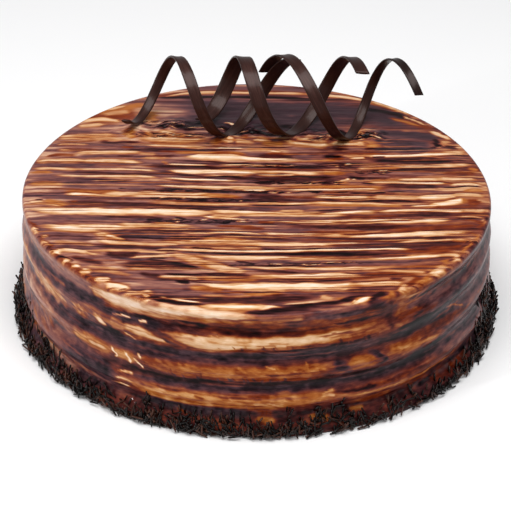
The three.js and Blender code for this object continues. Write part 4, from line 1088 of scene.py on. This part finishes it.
def side_glaze(degrees, z):
    """Tone and veil of the glaze on the ridged side."""
    turn = degrees / 360.0
    behind = smooth(88, 96, np.abs(degrees))
    z = z + 0.6 * SWAY(turn * 24, z / 22, 2, 24) + 0.35 * SWAY(turn * 160, z / 3 + 7, 2, 160)
    z = z + 1.6 * behind * SWAY(turn * 12, z / 30 + 3, 2, 12)
    along = folded(degrees) * MM_PER_DEGREE
    along = along + 1.0 * SWAY(turn * 150, z / 2.2 + 21, 2, 150)
    crest = 0.5 - 0.5 * np.cos(2 * np.pi * (z - LOWEST_GROOVE) / RIDGE_PITCH)
    row = np.floor((z - LOWEST_GROOVE) / RIDGE_PITCH)
    warmth = 0.5 + 0.5 * CLOUD(turn * 16, row * 3.3 + 5, 2, 16)
    tone = SIDE_TONE + crest * (0.08 + 0.24 * warmth)
    tone = tone + 0.09 * GRAIN(turn * 90, z / 1.4, 2, 90)
    # painted reflection: the veil grows towards the left and right of the side, where the pale
    # surroundings reflect at a grazing angle
    veil = 0.35 + 0.65 * smooth(34, 62, np.abs(degrees)) - 0.25 * warmth * crest
    glaze = np.stack([tone, np.clip(veil, 0, 1)])
    for colour, half, *nodes in SIDE_STREAKS:
        path = [(angle * MM_PER_DEGREE, *rest) for angle, *rest in nodes]
        edged = half > EDGED_HALF_ON_SIDE
        paint(glaze, along, z, colour, half, path, edged=edged, tear=SIDE_TEAR)
    random = np.random.default_rng(THREAD_SEED)
    for colours, half, reach, start, end, count, low, high, slant in SIDE_FLECKS:
        for _ in range(count):
            place = random.uniform(start, end) * MM_PER_DEGREE
            middle, size = random.uniform(low, high), reach * random.uniform(0.4, 1.2)
            lean = slant * random.uniform(0.5, 1.3)
            ends = [(place - lean, middle + size), (place, middle), (place + lean, middle - size)]
            colour = colours[random.integers(len(colours))]
            thick = half * random.uniform(0.5, 1.5)
            paint(glaze, along, z, colour, thick, ends, strength=FLECK_STRENGTH, edged=False)
    for _ in range(THREAD_COUNT):
        place, height = random.uniform(-86, 86) * MM_PER_DEGREE, random.uniform(9, 66)
        reach = random.uniform(*SIDE_THREAD_REACH)
        colour = SIDE_THREAD_COLOURS[random.integers(len(SIDE_THREAD_COLOURS))]
        nodes = [(place - reach, height), (place + reach, height + random.uniform(-0.8, 0.8))]
        half = random.uniform(*SIDE_THREAD_HALF)
        paint(glaze, along, z, colour, half, nodes, strength=SIDE_THREAD_STRENGTH)
    glaze[0] += 0.07 * CLOUD(turn * 180, z / 2.6, 2, 180) + 0.05 * EDGE(turn * 360, z / 1.5, 1, 360)
    glaze[0] -= FOOT_SHADE * (1 - smooth(3, 9, z))
    # painted reflection: the left of the side is lightened where the pale surroundings reflect at a
    # grazing angle; the front right is a little darker
    glaze[0] += 0.07 * smooth(34, 60, -degrees) - 0.07 * smooth(24, 50, degrees) * (1 - behind)
    seam = np.exp(-(((along / MM_PER_DEGREE - SEAM_ANGLE) / SEAM_WIDTH) ** 2)) * smooth(44, 50, z)
    return mix(glaze, np.array(DARK)[:, None], SEAM_SHARE * seam)


def pressed(x, y, relief):
    """The relief, lowered to the curls where they lie on the glaze."""
    low = []
    for curl in CURLS.values():
        angle = np.arange(curl["start"], curl["end"], CURL_STEP)
        width, radius, travel = curl_course(curl, angle)
        phi = np.radians(angle)
        spine = np.stack([travel, radius * np.cos(phi), radius * np.sin(phi)], -1)
        spine = np.column_stack([curl_place(curl, spine), 0.5 * width])
        low.append(spine[spine[:, 2] < BED_HEIGHT + PRESS_REACH])
    low = np.concatenate(low)
    near = (y > low[:, 1].min() - 5) & (y < low[:, 1].max() + 5)
    beside = np.abs(x[near][:, None] - low[:, 0]) - low[:, 3]
    gap = np.hypot(np.maximum(beside, 0), y[near][:, None] - low[:, 1])
    best = np.argmin(gap, axis=1)
    share = 1 - smooth(PRESS_FULL, PRESS_NONE, gap[np.arange(len(best)), best])
    bottom = low[best, 2] - BED_HEIGHT - PRESS_DEPTH
    relief = relief.copy()
    relief[near] = mix(relief[near], np.minimum(relief[near], bottom), share)
    return relief


def top_relief(x, y, tone):
    """Height of the glaze above its bed."""
    flow = y - drift(x)
    relief = RELIEF_LEVEL + 0.22 * SWAY(x / 50, flow / 7, 2) + 0.08 * GRAIN(x / 18, flow / 2.5)
    relief = relief + 0.30 * (tone - 0.5)
    for cx, cy, height, spread in LUMPS:
        distance = ((x - cx) ** 2 + (y - cy) ** 2) / spread**2
        relief = relief + height * np.exp(-2 * distance)
    relief = relief + 0.7 * foot_share(x, y) * CLOUD(x / 3.2, y / 2.6, 2)
    relief = relief + 0.3 * wrinkle_share(x, y) * np.abs(CLOUD(x / 4.5, y / 1.6, 2))
    return pressed(x, y, relief)


# ---------------------------------------------------------------- mesh helpers
def quads_between(rows, columns, closed=True):
    """Faces between rows of points that follow each other. A closed row joins up with itself."""
    index = np.arange(rows * columns).reshape(rows, columns)
    after = np.roll(index, -1, axis=1)
    if not closed:
        index, after = index[:, :-1], after[:, :-1]
    return np.stack([index[:-1], after[:-1], after[1:], index[1:]], -1).reshape(-1, 4)


def mesh_object(name, points, faces, material, **stored):
    """A smooth-shaded piece from points in millimetres and faces, at the world origin, with
    one number, or three, stored at every point under each given name."""
    mesh = bpy.data.meshes.new(name)
    mesh.from_pydata((np.asarray(points) * MM).tolist(), [], list(faces))
    mesh.validate()
    mesh.polygons.foreach_set("use_smooth", [True] * len(mesh.polygons))
    mesh.materials.append(material)
    piece = bpy.data.objects.new(name, mesh)
    bpy.context.scene.collection.objects.link(piece)
    for title, values in stored.items():
        single = values.ndim == 1
        layer = mesh.attributes.new(title, "FLOAT" if single else "FLOAT_VECTOR", "POINT")
        numbers = values.astype(np.float32).ravel()
        layer.data.foreach_set("value" if single else "vector", numbers)
    return piece


# ---------------------------------------------------------------- materials
def linear(*srgb):
    """An sRGB colour, 0 to 255, as the linear colour that shaders use."""
    shares = [value / 255.0 for value in srgb]
    bright = [s / 12.92 if s <= 0.04045 else ((s + 0.055) / 1.055) ** 2.4 for s in shares]
    return (*bright, 1.0)


def set_stops(ramp, stops):
    """Gives a new colour ramp its (place, colour) stops."""
    for place, _ in stops[1:-1]:
        ramp.elements.new(place)
    for element, (place, colour) in zip(ramp.elements, stops):
        element.position = place
        element.color = colour


class Shader:
    """A material being built: makes nodes and joins them."""

    def __init__(self, name, settings):
        self.material = bpy.data.materials.new(name)
        self.material.use_nodes = True
        self.tree = self.material.node_tree
        self.surface = self.tree.nodes["Principled BSDF"]
        for socket, value in settings.items():
            self.surface.inputs[socket].default_value = value

    def node(self, kind, **settings):
        made = self.tree.nodes.new(kind)
        for key, value in settings.items():
            setattr(made, key, value)
        return made

    def join(self, output, target):
        self.tree.links.new(output, target)

    def math(self, operation, a, b=0.0, clamp=False):
        """One sum on sockets or plain numbers."""
        made = self.node("ShaderNodeMath", operation=operation, use_clamp=clamp)
        for socket, value in zip(made.inputs, (a, b)):
            if isinstance(value, (int, float)):
                socket.default_value = value
            else:
                self.join(value, socket)
        return made.outputs[0]

    def plus(self, a, b):
        return self.math("ADD", a, b)

    def minus(self, a, b, clamp=False):
        return self.math("SUBTRACT", a, b, clamp)

    def times(self, a, b, clamp=False):
        return self.math("MULTIPLY", a, b, clamp)

    def stored(self, name, vector=False):
        made = self.node("ShaderNodeAttribute", attribute_name=name)
        return made.outputs["Vector" if vector else "Fac"]

    def noise(self, vector, scale, detail=3.0, roughness=0.5, distortion=0.0):
        """Noise centred on zero, about -0.5 to 0.5."""
        made = self.node("ShaderNodeTexNoise")
        made.inputs["Scale"].default_value = scale
        made.inputs["Detail"].default_value = detail
        made.inputs["Roughness"].default_value = roughness
        made.inputs["Distortion"].default_value = distortion
        self.join(vector, made.inputs["Vector"])
        return self.minus(made.outputs["Fac"], 0.5)

    def ramp(self, value, stops):
        made = self.node("ShaderNodeValToRGB")
        set_stops(made.color_ramp, [(place, linear(*srgb)) for place, *srgb in stops])
        self.join(value, made.inputs["Fac"])
        return made.outputs["Color"]

    def base(self, colour):
        self.join(colour, self.surface.inputs["Base Color"])

    def bump(self, height, strength, distance):
        made = self.node("ShaderNodeBump")
        made.inputs["Strength"].default_value = strength
        made.inputs["Distance"].default_value = distance * MM
        self.join(height, made.inputs["Height"])
        self.join(made.outputs["Normal"], self.surface.inputs["Normal"])


def glaze_material():
    """Marbled mirror glaze: the stored tone, broken into fine streaks along the flow, read as
    clear warm chocolate or as a veiled violet-brown, which is partly painted reflection of the
    pale surroundings."""
    shader = Shader("marbled_glaze", {
        "Roughness": 0.36, "Coat Weight": 0.34, "Coat Roughness": 0.05, "Coat IOR": 1.3,
        "Specular IOR Level": 0.03,
    })
    flow = shader.stored("flow", vector=True)
    streaks = shader.noise(flow, 0.8, detail=4.0, roughness=0.65)
    threads = shader.noise(flow, 2.4, detail=2.0)
    folds = shader.math("ABSOLUTE", shader.noise(flow, 0.42, detail=2.0, distortion=1.6))
    folds = shader.minus(1.0, shader.times(folds, FOLD_SHARPNESS), clamp=True)
    folds = shader.times(folds, shader.stored("wrinkle"))
    threads = shader.times(threads, THREAD_SHARE)
    fine = shader.plus(shader.times(streaks, STREAK_SHARE), threads)
    broken = shader.plus(shader.stored("tone"), shader.times(fine, shader.stored("grain")))
    broken = shader.minus(broken, shader.times(folds, FOLD_SHARE))
    mixer = shader.node("ShaderNodeMixRGB")
    shader.join(shader.stored("veil"), mixer.inputs["Fac"])
    shader.join(shader.ramp(broken, WARM_RAMP), mixer.inputs["Color1"])
    shader.join(shader.ramp(broken, VEILED_RAMP), mixer.inputs["Color2"])
    shader.base(mixer.outputs["Color"])
    shader.bump(shader.minus(shader.times(streaks, 0.6), folds), strength=0.4, distance=0.35)
    return shader.material


def curl_material():
    """Satin dark chocolate with faint drawn lines along the ribbon and a little bloom."""
    shader = Shader("curl_chocolate", {
        "Roughness": 0.40, "Coat Weight": 0.16, "Coat Roughness": 0.16,
        "Specular IOR Level": 0.24, "Specular Tint": (1.0, 0.72, 0.66, 1.0),
    })
    along = shader.stored("flow", vector=True)
    lines = shader.noise(along, 1.2, detail=4.0, roughness=0.6)
    cloud = shader.noise(along, 0.12, detail=3.0)
    value = shader.plus(shader.plus(0.5, shader.times(lines, 0.9)), shader.times(cloud, 0.8))
    # painted shade: the curls darken towards +X
    place = shader.node("ShaderNodeSeparateXYZ")
    shader.join(shader.node("ShaderNodeTexCoord").outputs["Object"], place.inputs["Vector"])
    beyond = shader.minus(place.outputs["X"], CURL_SHADE_FROM * MM)
    darker = shader.times(beyond, 1 / (CURL_SHADE_OVER * MM), clamp=True)
    value = shader.minus(value, shader.times(darker, CURL_SHADE_DEPTH))
    shader.base(shader.ramp(value, CURL_RAMP))
    shader.bump(lines, strength=0.3, distance=0.25)
    return shader.material


def strand_material():
    """Near-black chocolate strands, each a little different."""
    shader = Shader("strand_chocolate", {"Roughness": 0.26, "Specular IOR Level": 0.26})
    place = shader.node("ShaderNodeTexCoord").outputs["Object"]
    speckle = shader.noise(place, 1800.0, detail=2.0)
    value = shader.plus(shader.stored("shade"), shader.times(speckle, 0.5))
    shader.base(shader.ramp(value, STRAND_RAMP))
    shader.bump(speckle, strength=0.4, distance=0.15)
    return shader.material


# ---------------------------------------------------------------- pieces
def top_piece(material):
    """The flat top: a square grid, finer across the streaks than along them, bent into a disc."""
    u, v = np.meshgrid(np.linspace(-1, 1, TOP_COLUMNS + 1), np.linspace(-1, 1, TOP_ROWS + 1))
    u, v = u.ravel(), v.ravel()
    x, y = u * np.sqrt(1 - 0.5 * v**2), v * np.sqrt(1 - 0.5 * u**2)
    radius = rim_edge(np.arctan2(y, x)) + TOP_OVERLAP
    share = np.hypot(x, y)
    x, y = x * radius, y * radius
    tone, veil = top_glaze(x, y)
    z = BED_HEIGHT + top_relief(x, y, tone) * (1 - smooth(0.93, 1.0, share))
    quads = quads_between(TOP_ROWS + 1, TOP_COLUMNS + 1, closed=False)
    return mesh_object(
        "cake_top", np.stack([x, y, z], 1), quads.tolist(), material, tone=tone, veil=veil,
        wrinkle=wrinkle_share(x, y), grain=1 - 0.75 * top_calm(x, y),
        flow=np.stack([0.13 * x, y - drift(x), z], 1),
    )


def side_piece(material):
    """The ridged side, from just inside the rim down to the middle of the foot."""
    front = np.linspace(-FRONT_REACH, FRONT_REACH, SIDE_STEPS_FRONT, endpoint=False)
    back = np.linspace(FRONT_REACH, 360.0 - FRONT_REACH, SIDE_STEPS_BACK, endpoint=False)
    degrees = np.concatenate([front, back])
    angle = np.radians(degrees - 90.0)
    degrees = from_front(degrees)
    steps = len(degrees)

    # rings of (radius, height, how far the glaze is the side's rather than the top's)
    wall_top = BED_HEIGHT - RIM_ROUNDING
    rings = [(rim_edge(angle) - SIDE_TUCK, BED_HEIGHT - 0.05, 0.0)]
    for i in range(RIM_RINGS + 1):
        turn = 0.5 * math.pi * i / RIM_RINGS
        radius = rim_edge(angle) + RIM_ROUNDING * math.sin(turn)
        rings.append((radius, wall_top + RIM_ROUNDING * math.cos(turn), 0.6 * i / RIM_RINGS))
    for i in range(1, SIDE_RINGS + 1):
        z = wall_top * (1 - i / SIDE_RINGS)
        ripple = 0.12 * SWAY(degrees / 360 * 90, z / 4 + 60, 2, 90)
        rings.append((wall_radius(z, angle) + ripple, z, min(1.0, 0.6 + 0.25 * i)))
    rows = []
    for radius, height, side in rings:
        x, y = radius * np.cos(angle), radius * np.sin(angle)
        rows.append((x, y, np.full_like(x, height), np.full_like(x, side)))
    x, y, z, side = [np.concatenate(values) for values in zip(*rows)]
    around = np.tile(degrees, len(rings))
    tone, veil = mix(top_glaze(x, y), side_glaze(around, z), side)
    arc = np.radians(around) * WALL_FOOT_RADIUS
    flow = np.stack([0.22 * arc, 0.1 * side, z], 1)

    # the foot is closed by triangles round one point in its middle
    middle = len(x)
    quads = quads_between(len(rings), steps)[:, [0, 3, 2, 1]]
    lowest = middle - steps + np.arange(steps)
    fan = np.stack([np.full(steps, middle), np.roll(lowest, -1), lowest], 1)
    origin = np.zeros((1, 3))
    return mesh_object(
        "cake_side", np.concatenate([np.stack([x, y, z], 1), origin]),
        quads.tolist() + fan.tolist(), material,
        tone=np.append(tone, DARK[0]), veil=np.append(veil, DARK[1]),
        wrinkle=np.zeros(middle + 1), grain=np.ones(middle + 1),
        flow=np.concatenate([flow, origin]),
    )


def ribbon_piece(name, curl, material):
    """One curl: a thin ribbon with rounded edges, wound as a helix."""
    steps = int((curl["end"] - curl["start"]) / CURL_STEP)
    angle = np.linspace(curl["start"], curl["end"], steps + 1)
    width, radius, travel = curl_course(curl, angle)
    width = width * (1 + 0.02 * EDGE(angle / 30, 0 * angle + len(name), 2))

    # section: (share of the flat, past its edge, outwards), with a half-round edge on each side
    half = 0.5 * RIBBON_THICKNESS
    flat = np.linspace(-1, 1, 7)
    turns = np.radians(np.linspace(-90, 90, 5)[1:-1])
    rounding = [(half * math.cos(a), -half * math.sin(a)) for a in turns]
    section = [(s, 0.0, half) for s in flat]
    section += [(1.0, past, out) for past, out in rounding]
    section += [(s, 0.0, -half) for s in flat[::-1]]
    section += [(-1.0, -past, -out) for past, out in rounding]
    section = np.array(section)

    across = np.outer(0.5 * width - half, section[:, 0]) + section[:, 1]
    out = radius[:, None] + section[:, 2] + CURL_EDGE_CUP * section[:, 0] ** 2
    phi = np.radians(angle)[:, None]
    local = np.stack([travel[:, None] + across, out * np.cos(phi), out * np.sin(phi)], -1)
    world = curl_place(curl, local).reshape(-1, 3)

    count = len(section)
    ends = [list(range(count))[::-1], list(range(steps * count, (steps + 1) * count))]
    faces = quads_between(steps + 1, count).tolist() + ends
    length = phi * radius[:, None] + 0 * across
    flow = np.stack([length * 0.1, across, out * 0.5], -1).reshape(-1, 3)
    return mesh_object(name, world, faces, material, flow=flow)


def strand_band(degrees):
    """Highest that the heap of strands reaches at an angle from the front."""
    band = BAND_HEIGHT + BAND_VARIES * CLOUD((degrees + 180) / 360 * 40, 0 * degrees + 2, 2, 40)
    return band - BAND_DIP * np.exp(-(((degrees - DIP_ANGLE) / DIP_WIDTH) ** 2))


def strands_piece(material):
    """Chocolate strands heaped against the foot of the cake, as one joined mesh."""
    random = np.random.default_rng(STRAND_SEED)
    degrees = [random.uniform(-180, 180, STRAND_COUNT)]
    cling = [np.zeros(STRAND_COUNT)]
    for middle, spread, low, high, clinging in STRAND_CLUSTERS:
        degrees.append(random.normal(middle, 0.6 * spread, clinging))
        cling.append(random.uniform(low, high, clinging))
    degrees, cling = from_front(np.concatenate(degrees)), np.concatenate(cling)
    thin = (degrees > THIN_FROM) & (degrees < THIN_TO)
    kept = ~thin | (random.random(len(degrees)) > THIN_SHARE)
    degrees, cling, thin = degrees[kept], cling[kept], thin[kept]
    count = len(degrees)
    length = random.uniform(*STRAND_LENGTH, count)
    thick = random.uniform(*STRAND_RADIUS, count)
    lean = random.uniform(0, np.pi, count)
    upright = random.random(count) < np.where(cling > 0, 0.8, np.where(thin, 0.12, 0.35))
    lean = np.where(upright, np.pi / 2 + random.normal(0, 0.3, count), lean)
    tip = random.normal(0, 0.28, count)
    drop = 0.5 * length * np.abs(np.sin(lean)) + thick
    height = drop + strand_band(degrees) * random.random(count) ** 1.7
    height = np.where(cling > 0, np.maximum(cling, drop), height)
    angle = np.radians(degrees - 90.0)
    outward = random.random(count) ** 2.0 * STRAND_REACH * (1 - smooth(3, 12, height))
    reach = wall_radius(height, angle) + 0.2 + outward

    # each strand's own directions: along it, and two across it
    tangent = np.stack([-np.sin(angle), np.cos(angle), 0 * angle], 1)
    normal = np.stack([np.cos(angle), np.sin(angle), 0 * angle], 1)
    upward = np.array([0.0, 0.0, 1.0])
    axis = np.cos(lean)[:, None] * tangent + np.sin(lean)[:, None] * upward
    axis = axis + np.sin(tip)[:, None] * normal
    axis /= np.linalg.norm(axis, axis=1)[:, None]
    side = np.cross(axis, normal)
    side /= np.linalg.norm(side, axis=1)[:, None]
    third = np.cross(axis, side)
    centre = reach[:, None] * normal + height[:, None] * upward

    around = (np.arange(STRAND_SIDES) * 2 * np.pi / STRAND_SIDES)[None, :, None]
    offset = np.cos(around) * side[:, None] + np.sin(around) * third[:, None]
    bend = random.normal(0, 0.35, count)
    rows = []
    for place, size in STRAND_STATIONS:
        arc = bend * (1 - (2 * place) ** 2)
        spine = centre + axis * (place * length)[:, None] + third * arc[:, None]
        rows.append(spine[:, None] + offset * (thick * size)[:, None, None])
    points = np.stack(rows, 1)
    points[..., 2] = np.maximum(points[..., 2], 0.02)
    per = len(STRAND_STATIONS) * STRAND_SIDES
    starts = np.arange(count) * per
    faces = (quads_between(len(STRAND_STATIONS), STRAND_SIDES) + starts[:, None, None])
    faces = faces.reshape(-1, 4).tolist()
    ring = np.arange(STRAND_SIDES)
    for start in starts:
        faces.append((start + ring[::-1]).tolist())
        faces.append((start + per - STRAND_SIDES + ring).tolist())
    shade = np.repeat(random.random(count), per)
    return mesh_object("strands", points.reshape(-1, 3), faces, material, shade=shade)


# ---------------------------------------------------------------- studio
def add_camera():
    data = bpy.data.cameras.new("camera")
    data.lens = CAMERA_LENS
    data.sensor_width = CAMERA_SENSOR
    camera = bpy.data.objects.new("camera", data)
    bpy.context.scene.collection.objects.link(camera)
    elevation, roll = math.radians(CAMERA_ELEVATION), math.radians(CAMERA_ROLL)
    forward = Vector((0, math.cos(elevation), -math.sin(elevation)))
    level_right = Vector((1, 0, 0))
    level_up = Vector((0, math.sin(elevation), math.cos(elevation)))
    right = math.cos(roll) * level_right + math.sin(roll) * level_up
    up = math.cos(roll) * level_up - math.sin(roll) * level_right
    turn = Matrix((right, up, -forward)).transposed()
    place = (Vector(CAMERA_TARGET) - CAMERA_DISTANCE * forward) * MM
    camera.matrix_world = Matrix.Translation(place) @ turn.to_4x4()
    bpy.context.scene.camera = camera


def area_light(name, place, target, size, power):
    data = bpy.data.lights.new(name, "AREA")
    data.shape = "RECTANGLE"
    data.size, data.size_y = size
    data.energy = power
    light = bpy.data.objects.new(name, data)
    light.location = place
    light.rotation_mode = "QUATERNION"
    light.rotation_quaternion = (Vector(target) - Vector(place)).to_track_quat("-Z", "Y")
    bpy.context.scene.collection.objects.link(light)


def add_world():
    """A plain pale surrounding, brighter near the horizon than overhead."""
    world = bpy.data.worlds.new("studio")
    bpy.context.scene.world = world
    world.use_nodes = True
    tree = world.node_tree
    direction = tree.nodes.new("ShaderNodeTexCoord").outputs["Generated"]
    split = tree.nodes.new("ShaderNodeSeparateXYZ")
    ramp = tree.nodes.new("ShaderNodeValToRGB")
    tree.links.new(direction, split.inputs[0])
    tree.links.new(split.outputs["Z"], ramp.inputs["Fac"])
    stops = [(place, (level, level, level * WORLD_BLUE, 1)) for place, level in WORLD_LEVELS]
    set_stops(ramp.color_ramp, stops)
    background = tree.nodes["Background"]
    tree.links.new(ramp.outputs["Color"], background.inputs["Color"])
    background.inputs["Strength"].default_value = WORLD_STRENGTH


def add_floor():
    corners = [(FLOOR_HALF * i, FLOOR_HALF * j, 0) for i, j in ((-1, -1), (1, -1), (1, 1), (-1, 1))]
    grey = (FLOOR_GREY, FLOOR_GREY, FLOOR_GREY, 1)
    shader = Shader("floor_paper", {"Roughness": 0.9, "Base Color": grey})
    floor = mesh_object("floor", corners, [(0, 1, 2, 3)], shader.material)


# ---------------------------------------------------------------- assembly
scene_settings = bpy.context.scene.view_settings
scene_settings.view_transform = "Standard"
scene_settings.look = "None"

add_camera()
add_world()
add_floor()
for light_values in LIGHTS:
    area_light(*light_values)

glaze = glaze_material()
for skin in (top_piece(glaze), side_piece(glaze)):
    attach(skin, "root")
    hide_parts("cake")

chocolate = curl_material()
for curl_name, curl_shape in CURLS.items():
    ribbon = ribbon_piece(curl_name + "_ribbon", curl_shape, chocolate)
    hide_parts(curl_name)
    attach(ribbon, "root")

strands = strands_piece(strand_material())
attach(strands, "root")
